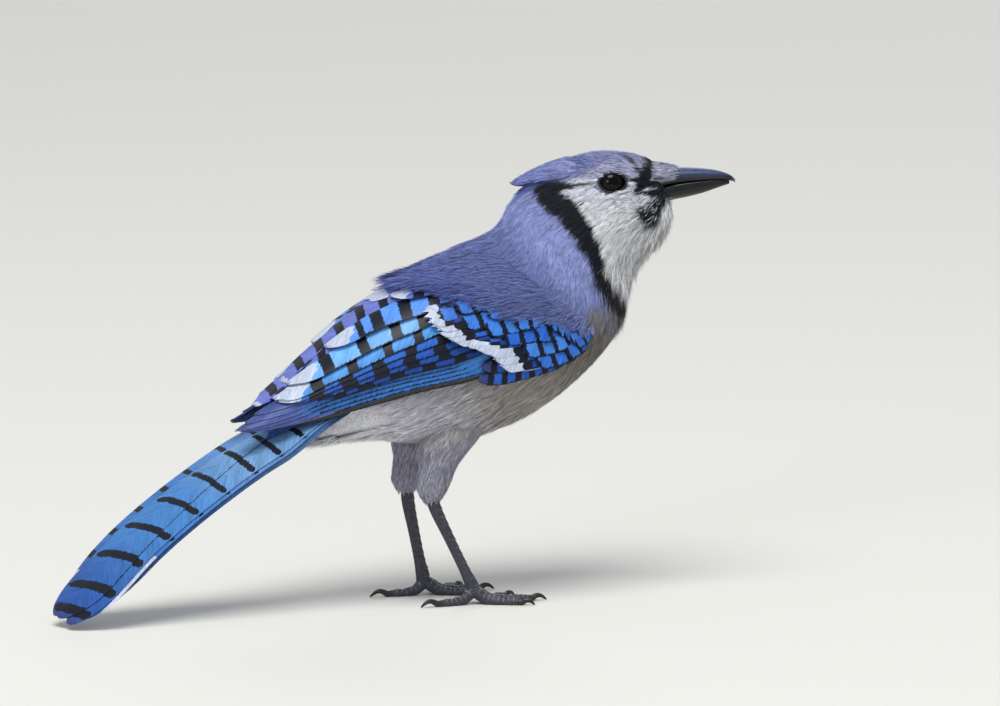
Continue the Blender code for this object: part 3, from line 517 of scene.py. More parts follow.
def horn_material(name, roughness, coat, dark, light, band):
    """Horn sheath, grown in fine layers and polished by use: a clouded satin, a little rougher in its pale
    places, with fine relief and a clear skin of gloss. band is the clouding's size in millimetres."""
    material, tree, shader = new_material(name, Roughness=roughness, Specular_IOR_Level=0.3)
    shader.inputs["Coat Weight"].default_value = coat
    shader.inputs["Coat Roughness"].default_value = 0.22
    where = node(tree, "ShaderNodeTexCoord")
    cloud = node(tree, "ShaderNodeTexNoise", [(where.outputs["Object"], "Vector")],
                 in_Scale=1000 / band, in_Detail=4.0)
    tone = node(tree, "ShaderNodeMapRange", [(cloud.outputs["Fac"], "Value")], **NOISE_SPAN,
                in_3=dark, in_4=light)
    tint_shader(tree, shader, tone)
    rough = node(tree, "ShaderNodeMapRange", [(cloud.outputs["Fac"], "Value")], **NOISE_SPAN,
                 in_3=roughness - 0.08, in_4=roughness + 0.12)
    tree.links.new(rough.outputs["Result"], shader.inputs["Roughness"])
    # Relief about 0.4 mm across.
    fine = node(tree, "ShaderNodeTexNoise", [(where.outputs["Object"], "Vector")],
                in_Scale=2500.0, in_Detail=3.0)
    bump = node(tree, "ShaderNodeBump", [(fine.outputs["Fac"], "Height")],
                in_Strength=0.25, in_Distance=0.1 * MM)
    tree.links.new(bump.outputs["Normal"], shader.inputs["Normal"])
    return material


def eye_material():
    """A living eye: near-black pupil in a very dark brown iris, under a clear wet cornea that takes one
    sharp highlight."""
    material, tree, shader = new_material("wet_eye", Roughness=0.2, IOR=1.376, Specular_IOR_Level=0.02)
    shader.inputs["Coat Weight"].default_value = 0.32
    shader.inputs["Coat Roughness"].default_value = 0.02
    tint = node(tree, "ShaderNodeAttribute", attribute_name="tint")
    tree.links.new(tint.outputs["Color"], shader.inputs["Base Color"])
    return material


BARBS = barb_material()
WEB = vane_material()
SKIN = skin_material()
BILL_HORN = horn_material("bill_sheath", 0.34, 0.28, 0.75, 1.3, 1.6)
CLAW_HORN = horn_material("claw_sheath", 0.4, 0.3, 0.7, 1.3, 1.2)
SCALES = horn_material("leg_scales", 0.55, 0.1, 0.6, 1.45, 0.9)
EYE = eye_material()

# Markings of the body, in the drawing's (x, z), so that both sides have the same

CROWN, CROWN_PALE, CREST_BLUE = linear("#8890c8"), linear("#b4badf"), linear("#6f7cc0")
DUSK = linear("#2c3050")
NAPE, MANTLE, BACK = linear("#98a3d8"), linear("#6f7cb6"), linear("#5c6aae")
RUMP_BLUE = linear("#4a70bd")
FACE, BROW, THROAT = linear("#dfe2f0"), linear("#a4a7c8"), linear("#ecedf0")
BLACK = linear("#10131f")
BIB, BREAST, BELLY, FLANK = linear("#a09dab"), linear("#938b82"), linear("#b8b3ae"), linear("#d3d1da")
VENT = linear("#eeeef4")

# The crown's lower edge, as (x, z).
CROWN_EDGE = np.array([
    (20, 133.5), (25.7, 135.4), (31.5, 136.9), (35.7, 138.2), (39.2, 140.0), (43.9, 142.6), (48.2, 144.2),
    (53, 144.9), (57, 145.0), (61, 145.2), (66, 145.5),
])
# Black brush strokes, as rows of (x, z, half width).
NECKLACE = np.array([
    (26.5, 135.4, 1.4), (30.0, 133.9, 3.6), (32.8, 131.0, 4.2), (35.2, 127.9, 3.9), (39.2, 122.4, 3.6),
    (42.0, 117.0, 3.0), (43.6, 113.6, 2.5), (46.4, 107.6, 2.2), (50.2, 100.8, 2.5), (52.4, 96.8, 2.2),
    (56, 94.0, 1.4),
])
EYE_STRIPE = np.array([
    (45.6, 137.9, 0.3), (39.2, 137.5, 0.55), (35.7, 137.4, 1.2), (32, 137.0, 1.9), (27, 136.0, 1.6),
])
LORE = np.array([
    (62.3, 145.0, 1.3), (61.6, 142.4, 1.3), (60.6, 140.0, 1.8), (59.6, 137.8, 2.1), (58.2, 136.0, 1.3),
    (57.0, 134.8, 0.7),
])
LORE_TO_EYE = np.array([(59.5, 138.6, 1.2), (56.5, 138.6, 0.7), (54.2, 138.7, 0.4)])
LORE_TO_BILL = np.array([(59.6, 137.4, 1.0), (62.4, 137.2, 1.3), (66.0, 136.6, 1.6)])
BROW_LINE = np.array([(54.6, 146.0, 0.25), (57.0, 144.0, 0.35), (58.6, 141.4, 0.5)])
# The bill's horn runs back under the face's feathers to its corner below the eye.
GAPE_SHADE = np.array([
    (56.6, 133.9, 0.25), (59.6, 134.3, 0.6), (62.6, 134.0, 1.4), (66.0, 133.7, 1.9), (72.0, 133.4, 1.9),
])
CHIN_SPOT = np.array([(59.4, 127.6, 2.3), (62.0, 126.2, 3.4), (63.4, 129.4, 2.8), (66.0, 131.0, 1.7)])
# The back edge of face and throat, as (z, x).
FACE_BACK = np.array([
    (93, 54.5), (96.8, 52.0), (100.8, 49.6), (107.6, 45.6), (114, 42.8), (117, 41.6), (122.6, 39.0),
    (127.9, 35.0), (131.0, 32.6), (134.4, 27), (137, 20),
])
# Where the blue of the upper side ends, as (ring, angle).
BLUE_EDGE = np.array([
    (6.8, 2.75), (7.4, 2.5), (8.0, 2.22), (8.6, 2.03), (9.9, 1.93), (11.5, 1.75), (14, 1.5), (17, 1.35),
])


def stroke(x, z, rows):
    """Millimetres from each point to the edge of a brush stroke along rows of (x, z, half width), under 0
    inside it."""
    nearest = np.full(np.shape(x), 1e9)
    for (x0, z0, w0), (x1, z1, w1) in zip(rows[:-1], rows[1:]):
        share = ((x - x0) * (x1 - x0) + (z - z0) * (z1 - z0)) / ((x1 - x0) ** 2 + (z1 - z0) ** 2)
        share = np.clip(share, 0, 1)
        gap = np.hypot(x - x0 - share * (x1 - x0), z - z0 - share * (z1 - z0)) - w0 - share * (w1 - w0)
        nearest = np.minimum(nearest, gap)
    return nearest


def inside(gap, soft=0.4):
    """1 inside an edge, 0 outside it, over soft millimetres."""
    return smoothstep(0.5 - gap / (2 * soft))


def upper_blue(x, z):
    """The blue of the upper side, which deepens with the distance along the back, from the nape over the
    mantle."""
    along = (30 - x) * 0.81 + (130 - z) * 0.585
    blue = mixed(NAPE, MANTLE, smoothstep((along - 6) / 22))
    return mixed(blue, BACK, smoothstep((along - 32) / 24))


def body_colour(t, theta, chance):
    """The coat's colour on the trunk. chance is one number from 0 to 1 for each barb or point, which
    speckles the places that are streaked."""
    x, _, z = np.moveaxis(body_point(t, theta), -1, 0)
    side = np.abs(theta)
    blue = mixed(upper_blue(x, z), RUMP_BLUE, smoothstep((t - 13.6) / 1.6))
    under = mixed(BIB, BREAST, smoothstep((t - 8.2) / 1.8))
    under = mixed(under, BELLY, smoothstep((t - 9.5) / 2.5))
    under = mixed(under, FLANK, smoothstep((t - 12.2) / 1.8))
    under = mixed(under, VENT, smoothstep((t - 14.0) / 1.5))
    edge = np.interp(t, *BLUE_EDGE.T)
    colour = mixed(blue, under, smoothstep((side - edge) * 5 + 0.5))
    face = mixed(FACE, THROAT, smoothstep((136 - z) / 12))
    brow = smoothstep((z - 138.6) / 2.4) * inside(np.abs(x - 50) - 14, 3)
    face = mixed(face, BROW, brow * (0.55 + 0.45 * (chance > 0.35)))
    ahead = inside(np.interp(z, *FACE_BACK.T) - x, 0.5) * (z > 94)
    colour = mixed(colour, face, ahead)
    crown = mixed(CROWN, CREST_BLUE, smoothstep((46 - x) / 18))
    # Paler over the top of the crown: a painted highlight.
    crown = mixed(crown, CROWN_PALE, inside(146.0 - z, 1.5) * 0.7)
    crown = mixed(crown, DUSK, 0.45 * (chance < 0.13))
    over = z - np.interp(x, *CROWN_EDGE.T)
    streaked = smoothstep((over / 2.6 + 0.6 - chance * 1.1) * 2.0)
    colour = mixed(colour, crown, streaked * (x > 18))
    colour = mixed(colour, mixed(colour, BLACK, 0.75), (chance > 0.86) * ahead * 0.55)
    for rows in (NECKLACE, EYE_STRIPE, LORE, LORE_TO_EYE, LORE_TO_BILL, BROW_LINE, GAPE_SHADE):
        colour = mixed(colour, BLACK, inside(stroke(x, z, rows), 0.45))
    spot = inside(stroke(x, z, CHIN_SPOT), 0.9)
    return mixed(colour, BLACK * 1.6, spot * (chance > 0.14))


# The coat

LENGTH_T = (0, 1.5, 3, 5, 7, 9, 12, 17)
LENGTH_SIDE = (0, 0.7, 1.3, 1.9, 2.5, math.pi)
# Millimetres of feather: rows from the bill to the tail, columns from the back to the belly.
LENGTH = np.array([
    (3.0, 2.6, 2.2, 2.4, 3.2, 3.6), (4.6, 3.8, 2.8, 3.0, 4.6, 5.2), (7.0, 5.0, 3.0, 3.8, 6.0, 6.6),
    (8.0, 7.0, 4.4, 6.0, 9.0, 10.0), (7.0, 7.0, 6.5, 7.5, 9.5, 10.5), (9.0, 9.0, 9.0, 9.0, 9.5, 9.5),
    (11.5, 11.5, 11.5, 11.5, 11.5, 11.5), (12.0, 12.0, 12.0, 9.5, 9.0, 9.5),
])
# Millimetres that the tips stand above the solids' surface.
LIFT = np.array([
    (0.1, 0.1, 0.0, 0.0, 0.4, 0.7), (0.3, 0.2, 0.0, 0.0, 0.8, 1.4), (0.4, 0.3, 0.0, 0.1, 0.9, 1.4),
    (0.3, 0.3, 0.1, 0.2, 1.0, 1.6), (0.2, 0.2, 0.2, 0.3, 0.5, 0.6), (0.2, 0.2, 0.3, 0.3, 0.3, 0.3),
    (0.2, 0.2, 0.3, 0.3, 0.3, 0.4), (0.3, 0.3, 0.5, 0.8, 2.0, 2.6),
])
# Millimetres that the skin lies inside the solids, and how much deeper it goes under the eye.
SKIN_DEPTH, EYE_WELL = 1.2, 3.2


def field(table, t, theta):
    """The table's value at ring t and angle theta, between its nearest four numbers."""
    side = np.abs(theta)
    i = np.clip(np.searchsorted(LENGTH_T, t) - 1, 0, len(LENGTH_T) - 2)
    j = np.clip(np.searchsorted(LENGTH_SIDE, side) - 1, 0, len(LENGTH_SIDE) - 2)
    rows, columns = np.array(LENGTH_T), np.array(LENGTH_SIDE)
    f = np.clip((t - rows[i]) / (rows[i + 1] - rows[i]), 0, 1)
    g = np.clip((side - columns[j]) / (columns[j + 1] - columns[j]), 0, 1)
    low = table[i, j] * (1 - f) + table[i + 1, j] * f
    high = table[i, j + 1] * (1 - f) + table[i + 1, j + 1] * f
    return low * (1 - g) + high * g


def even_roots(surface, low, high, count, seed=0.0, steps=(120, 90)):
    """Count roots spread evenly over the surface between the corners low and high of its two parameters:
    a two-number golden-ratio sequence, stretched so that every square millimetre gets as many."""
    u = np.linspace(low[0], high[0], steps[0])
    v = np.linspace(low[1], high[1], steps[1])
    grid = surface(*np.meshgrid(u, v, indexing="ij"))
    du, dv = np.gradient(grid, axis=0), np.gradient(grid, axis=1)
    area = np.linalg.norm(np.cross(du, dv), axis=-1) + 1e-9
    rows = np.concatenate([[0], np.cumsum((area[1:] + area[:-1]).mean(1))])
    number = np.arange(count) + seed
    first = np.interp((number * 0.7548776662) % 1 * rows[-1], rows, np.arange(len(u)))
    second = (number * 0.5698402910) % 1
    columns = np.concatenate([np.zeros((len(u), 1)), np.cumsum((area[:, 1:] + area[:, :-1]) / 2, 1)], 1)
    columns /= columns[:, -1:]
    row = np.round(first).astype(int)
    place_in = np.argmax(columns[row] >= second[:, None], axis=1)
    before = np.maximum(place_in - 1, 0)
    c0, c1 = columns[row, before], columns[row, place_in]
    share = np.where(c1 > c0, (second - c0) / np.maximum(c1 - c0, 1e-9), 0)
    return np.interp(first, np.arange(len(u)), u), v[before] + share * (v[1] - v[0])


def tangents(surface, u, v):
    """The surface's directions along its two parameters, and a function that gives how far both parameters
    go for a millimetre in a direction on it."""
    step = 1e-3
    along_u = (surface(u + step, v) - surface(u - step, v)) / (2 * step)
    along_v = (surface(u, v + step) - surface(u, v - step)) / (2 * step)
    uu, uv, vv = (np.sum(p * q, 1) for p, q in ((along_u, along_u), (along_u, along_v), (along_v, along_v)))
    det = uu * vv - uv * uv

    def steps(direction):
        pu, pv = np.sum(direction * along_u, 1), np.sum(direction * along_v, 1)
        return (pu * vv - pv * uv) / det, (pv * uu - pu * uv) / det
    return along_u, along_v, steps


# How much shorter a tuft's outermost barbs are than its middle one, as a share.
TIP_EVEN = 0.35


def tufts(surface, u, v, length, spread, low, lift, barbs, rows, width, rng, pinch=0.0, stray=0.07):
    """Small feathers on a surface(u, v, rise): from each root a fan of barbs, each a thin blade that narrows
    to a point. A barb lies where the shaft's share s, its side place q from -1 to 1 and the tuft's spread
    say: along = length x s x (1 - TIP_EVEN x q^2), across = q x spread / 2 x s^0.8, drawn together again at
    the tip by pinch, and it rises from low to lift as s^1.3. The tufts' headings vary by stray. Gives the
    points, the faces, for each point (tuft, barb's q, s), a place on the surface for each blade, which its
    colour is taken from, and the number of points in a blade."""
    count = len(u)
    along_u, _, steps = tangents(surface, u, v)
    ahead = unit(along_u)
    normal = unit(surface(u, v, 0.5) - surface(u, v, 0.0))
    aside = unit(np.cross(normal, ahead))
    turn = rng.normal(0, stray, count)
    shaft = ahead * np.cos(turn)[:, None] + aside * np.sin(turn)[:, None]
    across = aside * np.cos(turn)[:, None] - ahead * np.sin(turn)[:, None]
    shaft_u, shaft_v = (x[:, None, None] for x in steps(shaft))
    across_u, across_v = (x[:, None, None] for x in steps(across))

    q = np.linspace(-1, 1, barbs)[None, :] + rng.normal(0, 0.5 / barbs, (count, barbs))
    s = np.linspace(0, 1, rows)[None, None, :]
    long = length[:, None] * (1 - TIP_EVEN * q**2) * rng.uniform(0.82, 1.08, (count, barbs))
    bend = rng.normal(0, 0.05, (count, barbs)) * long
    out_along = long[:, :, None] * s
    out_across = q[:, :, None] * spread[:, None, None] / 2 * s**0.8 * (1 - pinch * s**2)
    out_across = out_across + bend[:, :, None] * s**2
    lift_each = lift[:, None] * rng.uniform(0.6, 1.25, (count, barbs)) - 0.25 * q**2
    lift_each = lift_each + rng.normal(0, 0.12, (count, barbs))
    rise = low + (lift_each[:, :, None] - low) * s**1.3
    uu_at = u[:, None, None] + out_along * shaft_u + out_across * across_u
    vv_at = v[:, None, None] + out_along * shaft_v + out_across * across_v
    centre = surface(uu_at, vv_at, rise)
    outward = unit(surface(uu_at, vv_at, rise + 0.5) - centre)
    tangent = unit(np.gradient(centre, axis=2))
    flat = unit(np.cross(outward, tangent))
    roll = rng.normal(0, 0.35, (count, barbs))[:, :, None, None]
    flat = flat * np.cos(roll) + outward * np.sin(roll)
    wide = width * rng.uniform(0.75, 1.25, (count, barbs))[:, :, None] * (1 - s[:, :, :-1]) ** 0.45
    left = centre[:, :, :-1] - flat[:, :, :-1] * wide[..., None] / 2
    right = centre[:, :, :-1] + flat[:, :, :-1] * wide[..., None] / 2
    pairs = np.stack([left, right], 3).reshape(count * barbs, -1, 3)
    points = np.concatenate([pairs, centre[:, :, -1].reshape(-1, 1, 3)], 1)
    each = points.shape[1]
    first = (np.arange(count * barbs) * each)[:, None]
    blade = np.array([[0, 2, 3, 1]]) + 2 * np.arange(rows - 2)[:, None]
    quads = (first[:, :, None] + blade[None]).reshape(-1, 4)
    tris = first + np.array([[each - 3, each - 1, each - 2]])
    share = np.concatenate([np.repeat(s[0, 0, :-1], 2), [1.0]])
    number = np.repeat(np.arange(count), barbs)[:, None] + np.zeros(each)
    where = np.stack(np.broadcast_arrays(number, q.reshape(-1, 1), share[None]), -1)
    middle = min(rows - 1, max(1, round((rows - 1) * 0.6)))
    spots = (uu_at[:, :, middle].ravel(), vv_at[:, :, middle].ravel())
    return points.reshape(-1, 3), [quads, tris], where.reshape(-1, 3), spots, each


PATCH = 0.003


def tuft_map(root_uv, where):
    """Each tuft's patch on the bake map: PATCH across, round its root's place."""
    tuft, q, s = where.T
    return root_uv[tuft.astype(int)] + np.stack([np.clip(q, -1, 1) * 0.5, s - 0.5], -1) * PATCH


def skin_uv(t, theta):
    """The trunk's place on the bake map: angle across, ring upwards."""
    return np.stack([0.5 + 0.47 * np.asarray(theta) / math.pi, 0.03 + 0.69 * np.asarray(t) / BODY_END], -1)


def thigh_uv(s, psi, side):
    """The thighs' place on the bake map, above the trunk's."""
    middle = 0.25 if side == RIGHT else 0.75
    up = 0.78 + 0.18 * np.asarray(s) / (len(THIGH) - 1)
    return np.stack([middle + 0.21 * np.asarray(psi) / math.pi, up], -1)


def crest_uv(s, psi):
    """The head's tapered forms' place on the bake map, in the strip between the trunk and the thighs."""
    return np.stack([0.5 + 0.45 * np.asarray(psi) / math.pi, 0.73 + 0.04 * np.asarray(s) / 5], -1)


def tone_barbs(colour, tufts_of, each, rng, root_dark=0.55, spread=0.14):
    """Colours for every point of the blades from one colour for each: a tone for each tuft and each blade,
    and darker towards the root."""
    blades = len(colour)
    tuft_tone = rng.normal(1, spread * 0.6, tufts_of.max() + 1)[tufts_of]
    tone = tuft_tone * rng.normal(1, spread, blades)
    share = np.linspace(0, 1, each)
    fade = root_dark + (1 - root_dark) * smoothstep(share * 1.6)
    return np.clip(colour[:, None, :] * np.clip(tone, 0.5, 1.6)[:, None, None] * fade[None, :, None], 0, 1)


LID_WIDTH = 0.3


def off_the_eye(t, theta, length):
    """Which tufts stay clear of the eye's opening, from root to tip."""
    clear = np.ones(len(t), bool)
    for share in (0.0, 0.35, 0.7, 1.0):
        x, y, z = np.moveaxis(body_point(t, theta), -1, 0)
        slope = body_point(t + 0.05, theta) - body_point(t, theta)
        x = x + unit(slope)[:, 0] * length * share
        z = z + unit(slope)[:, 2] * length * share
        away = ((x - EYE_OPENING_AT[0]) / (EYE_OPENING[0] + LID_WIDTH)) ** 2
        away += ((z - EYE_OPENING_AT[1]) / (EYE_OPENING[1] + LID_WIDTH)) ** 2
        clear &= (away > 1) | (np.abs(y) < 6)
    return clear


def body_coat(name, count, low, high, barbs, rows, width, spread, seed, keep=None, rough=1.0, pinch=0.0,
              stray=0.07, root_dark=0.55):
    """A region of the trunk's coat between the corners low and high of (ring, angle)."""
    rng = np.random.default_rng(seed)
    t, theta = even_roots(coat_point, low, high, count, seed)
    t = np.clip(t + rng.normal(0, 0.01, len(t)), 0.02, BODY_END)
    length = field(LENGTH, t, theta) * rng.uniform(0.85, 1.15, len(t))
    chosen = off_the_eye(t, theta, length)
    if keep is not None:
        chosen &= keep(t, theta)
    t, theta, length = t[chosen], theta[chosen], length[chosen]
    lift = field(LIFT, t, theta) + rng.normal(0, 0.15 * rough, len(t))
    points, faces, where, spots, each = tufts(
        coat_point, t, theta, length, length * spread, -SKIN_DEPTH + 0.1, lift, barbs, rows, width, rng,
        pinch, stray)
    chance = rng.random(len(spots[0]))
    colour = body_colour(np.clip(spots[0], 0, BODY_END), within_half_turn(spots[1]), chance)
    tints = tone_barbs(colour, np.repeat(np.arange(len(t)), barbs), each, rng, root_dark)
    mesh_piece(name, points, faces, BARBS, tuft_map(skin_uv(t, theta), where), tints)


def rings_and_angles(last, rings, angles):
    """A grid of ring numbers from 0 to last by angles all the way round."""
    return np.meshgrid(np.linspace(0, last, rings), np.linspace(-math.pi, math.pi, angles), indexing="ij")


def build_skin():
    """One skin for head, trunk and thighs, SKIN_DEPTH inside the solids, with the coat's markings."""
    parts, maps, tints = [], [], []

    def add(rings, on_map, colour, flip=False):
        ends = np.array([(0.5, on_map[0, 0, 1] - 0.008), (0.5, on_map[-1, 0, 1] + 0.008)])
        parts.append(closed_tube(rings, flip=flip, cut=True))
        maps.append(np.concatenate([on_map.reshape(-1, 2), ends]))
        middles = [colour[end].mean(0)[None] for end in (0, -1)]
        tints.append(np.concatenate([colour.reshape(-1, 3), *middles]))

    t, theta = rings_and_angles(BODY_END, 171, 121)
    # Inside the lids' opening the skin sinks away under the eye.
    depth = -SKIN_DEPTH * np.minimum(1, 0.25 + t / 2) - EYE_WELL * eye_bell(t, np.abs(theta), 0.72, 0.32)
    chance = np.random.default_rng(3).random(t.shape)
    add(coat_point(t, theta, depth), skin_uv(t, theta), body_colour(t, theta, chance))
    for side, _ in SIDES:
        s, psi = rings_and_angles(len(THIGH) - 1, 40, 33)
        colour = np.broadcast_to(FLANK * 0.6, (*s.shape, 3))
        add(thigh_point(s, psi, -0.7, side), thigh_uv(s, psi, side), colour, flip=side == LEFT)
    s, psi = rings_and_angles(len(CREST) - 1, 50, 49)
    colour = np.broadcast_to(CREST_BLUE * 0.5, (*s.shape, 3))
    add(tapered(CREST)(s, psi, -0.9 + 0.5 * s / len(CREST)), crest_uv(s, psi), colour)
    points, faces = joined(parts)
    skin = mesh_piece("skin", points, faces, SKIN, np.concatenate(maps),
                      np.concatenate(tints))
    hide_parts("head", "neck", "torso", "rump", "thigh_right", "thigh_left")


def tapered_coat(name, table, count, low, high, length, lift, barbs, width, colour_of, seed, pinch, rough):
    """Tufts on one of the head's tapered forms, which lie towards its thin end; length is a function of the
    ring, and colour_of one of points and chance."""
    rng = np.random.default_rng(seed)
    surface = tapered(table)
    s, psi = even_roots(surface, low, high, count, seed)
    long = length(s) * rng.uniform(0.85, 1.12, len(s))
    rise = lift + rng.normal(0, rough, len(s))
    points, faces, where, spots, each = tufts(
        surface, s, psi, long, long * 0.3, -0.7, rise, barbs, 5, width, rng, pinch, stray=0.05 + 0.3 * rough)
    spot = surface(spots[0], spots[1])
    tints = tone_barbs(colour_of(spot, rng.random(len(spot))), np.repeat(np.arange(len(s)), barbs), each, rng)
    mesh_piece(name, points, faces, BARBS, tuft_map(crest_uv(s, psi), where), tints)


def crest_colour(points, chance):
    """The crest: violet blue, paler along the top and duskier at its lower edge."""
    x, _, z = points.T
    top, bottom = (np.interp(-x, -CREST[:, 0], CREST[:, k]) for k in (1, 2))
    share = (z - bottom) / np.maximum(top - bottom, 0.5)
    colour = mixed(CREST_BLUE, CROWN, smoothstep((x - 22) / 16))
    colour = mixed(colour, CROWN_PALE, 0.55 * (chance > 0.72))
    colour = mixed(colour, DUSK, 0.5 * (chance < 0.16))
    return mixed(colour, DUSK, 0.75 * smoothstep((0.42 - share) / 0.3))


def bristle_colour(points, chance):
    """The nasal bristles: lavender grey with some dark ones among them, black where the lore reaches."""
    x, _, z = points.T
    colour = mixed(linear("#8c8fa8"), linear("#c2c4d6"), chance)
    colour = mixed(colour, BLACK, 0.8 * (chance > 0.78))
    lower = smoothstep((137.2 - z) / 1.6)
    return mixed(colour, BLACK, np.maximum(inside(stroke(x, z, LORE), 0.6), 0.8 * lower))


def chin_colour(points, chance):
    """The chin's beard: whitish, with the dark spot under the bill's base."""
    x, _, z = points.T
    colour = mixed(THROAT, linear("#eef0f4"), chance * 0.7)
    colour = mixed(colour, BLACK, inside(stroke(x, z, GAPE_SHADE), 0.6))
    return mixed(colour, BLACK * 1.6, inside(stroke(x, z, CHIN_SPOT), 1.0) * (chance > 0.12))


def build_coat():
    """The trunk's coat, region by region."""
    pi = math.pi
    body_coat("coat_crown", 1250, (0.1, -1.0), (6.3, 1.0), 13, 5, 0.30, 0.32, 11)
    body_coat("coat_face", 3000, (0.1, -pi), (7.2, pi), 10, 4, 0.28, 0.42, 12,
              keep=lambda t, theta: (np.abs(theta) > 0.9) & (np.abs(theta) < 2.2), stray=0.12, root_dark=0.42)
    body_coat("coat_throat", 1500, (0.1, 2.1), (7.6, 2 * pi - 2.1), 11, 5, 0.28, 0.34, 13, rough=4.5,
              pinch=0.75, stray=0.2, root_dark=0.42)
    tapered_coat("coat_crest", CREST, 420, (0.35, -1.75), (4.6, 1.75),
                 lambda s: np.interp(s, [0, 3, 4.6], [9.0, 6.5, 1.3]), 0.25, 13, 0.28, crest_colour, 19,
                 0.4, 0.12)
    tapered_coat("coat_bristles", BRISTLES, 260, (0.0, -2.0), (2.2, 2.0),
                 lambda s: np.interp(s, [0, 2.2], [6.5, 4.2]), 0.15, 9, 0.22, bristle_colour, 20, 0.6, 0.2)
    tapered_coat("coat_chin", CHIN, 240, (0.0, pi - 1.7), (1.9, pi + 1.7),
                 lambda s: np.interp(s, [0, 1.9], [6.5, 4.2]), 0.9, 9, 0.22, chin_colour, 21, 0.7, 0.8)
    body_coat("coat_nape", 1500, (6.6, -2.3), (10.2, 2.3), 14, 5, 0.30, 0.36, 14)
    body_coat("coat_mantle", 1900, (9.9, -1.6), (14.5, 1.6), 14, 5, 0.30, 0.36, 15)
    body_coat("coat_breast", 1700, (7.2, 1.9), (12.0, 2 * pi - 1.9), 14, 5, 0.36, 0.38, 16)

    # The tail's root lies bare along the flank between the rump and the feathers under the tail.
    def belly_and_vent(t, theta):
        return (t < 14.4) | (np.abs(theta - pi) < np.interp(t, [14.4, 16.0], [1.0, 0.7]))

    body_coat("coat_belly", 1900, (11.6, 1.5), (17.0, 2 * pi - 1.5), 14, 5, 0.34, 0.38, 17, rough=3.5,
              pinch=0.5, keep=belly_and_vent, stray=0.12)
    body_coat("coat_rump", 600, (14.0, -1.7), (17.0, 1.7), 14, 5, 0.34, 0.36, 18,
              keep=lambda t, theta: (t < 14.6) | (np.abs(theta) < 1.15))


def build_thigh_coat(side, label):
    """The thigh's feathers, which lie down the leg to the ankle."""
    rng = np.random.default_rng(30 + side)

    def surface(s, psi, rise=0.0):
        return thigh_point(s, psi, rise, side)

    s, psi = even_roots(surface, (0.2, -math.pi), (6.4, math.pi), 700, 30)
    length = np.interp(s, [0, 3, 6.4], [9, 7.5, 3.2]) * rng.uniform(0.85, 1.15, len(s))
    points, faces, where, spots, each = tufts(
        surface, s, psi, length, length * 0.34, -0.6, np.full(len(s), 0.35), 12, 5, 0.32, rng)
    pale, dusk = linear("#acabba"), linear("#7d7c90")
    colour = mixed(pale, dusk, (rng.random(len(spots[0])) > 0.62) * 0.9)
    colour = mixed(colour, BELLY, smoothstep(1 - spots[0] / 2.0))
    tints = tone_barbs(colour, np.repeat(np.arange(len(s)), 12), each, rng)
    mesh_piece(f"coat_thigh_{label}", points, faces, BARBS,
               tuft_map(thigh_uv(s, psi, side), where), tints)


# Flight feathers

# Each feather as (root, tip, width): its two ends as (a, b) on the folded wing, and millimetres.
PRIMARIES = (
    ((0.16, 0.08), (0.90, 0.05), 8), ((0.20, 0.115), (0.98, 0.22), 8.5), ((0.24, 0.155), (1.0, 0.46), 9),
    ((0.28, 0.195), (0.925, 0.66), 9.5),
)
# Secondaries also have the power by which they leave their root's line late.
SECONDARIES = (
    ((0.24, 0.195), (0.75, 0.275), 7.5, 2.5), ((0.25, 0.24), (0.78, 0.36), 8, 2.5),
    ((0.26, 0.29), (0.82, 0.46), 8.5, 3), ((0.27, 0.35), (0.85, 0.56), 9, 3),
    ((0.28, 0.425), (0.855, 0.66), 10.5, 3), ((0.29, 0.52), (0.80, 0.76), 12.5, 2),
    ((0.28, 0.62), (0.66, 0.84), 14, 1.6), ((0.24, 0.67), (0.455, 0.835), 11, 1.6),
)
# The innermost feathers, which lie over the back and close the wings together, with the lengths of their
# white tips.
RIDGE_FEATHERS = (
    ((0.45, 0.84), (0.90, 0.93), 11, 1.5), ((0.29, 0.78), (0.80, 0.93), 14, 1.5),
    ((0.27, 0.84), (0.495, 0.965), 9, 6.0),
)
GREATER_COVERTS = (
    ((0.12, 0.06), (0.312, 0.105), 9.5), ((0.15, 0.12), (0.325, 0.185), 8.5),
    ((0.17, 0.18), (0.356, 0.245), 8.5), ((0.19, 0.25), (0.390, 0.30), 9),
    ((0.20, 0.33), (0.410, 0.38), 9.5), ((0.20, 0.42), (0.422, 0.47), 10),
)
MEDIAN_COVERTS = (
    ((0.06, 0.03), (0.23, 0.06), 7.5), ((0.07, 0.08), (0.245, 0.125), 7.5), ((0.10, 0.17), (0.275, 0.215), 8),
    ((0.12, 0.24), (0.305, 0.29), 8), ((0.16, 0.31), (0.348, 0.37), 8), ((0.20, 0.38), (0.393, 0.45), 8),
)
LESSER_COVERTS = (
    ((0.02, 0.02), (0.14, 0.04), 6), ((0.03, 0.07), (0.165, 0.10), 6.5), ((0.05, 0.14), (0.20, 0.175), 7),
    ((0.08, 0.22), (0.235, 0.27), 7), ((0.12, 0.32), (0.285, 0.37), 7), ((0.18, 0.41), (0.345, 0.465), 7),
)
MARGINAL_COVERTS = (
    ((0.0, 0.03), (0.09, 0.05), 5), ((0.0, 0.09), (0.115, 0.11), 5), ((0.02, 0.15), (0.145, 0.19), 5.5),
)
PRIMARY_COVERTS = (((0.08, 0.015), (0.37, 0.025), 6), ((0.10, 0.07), (0.35, 0.08), 6.5))
ALULA = (((0.06, 0.035), (0.278, 0.035), 3.8),)


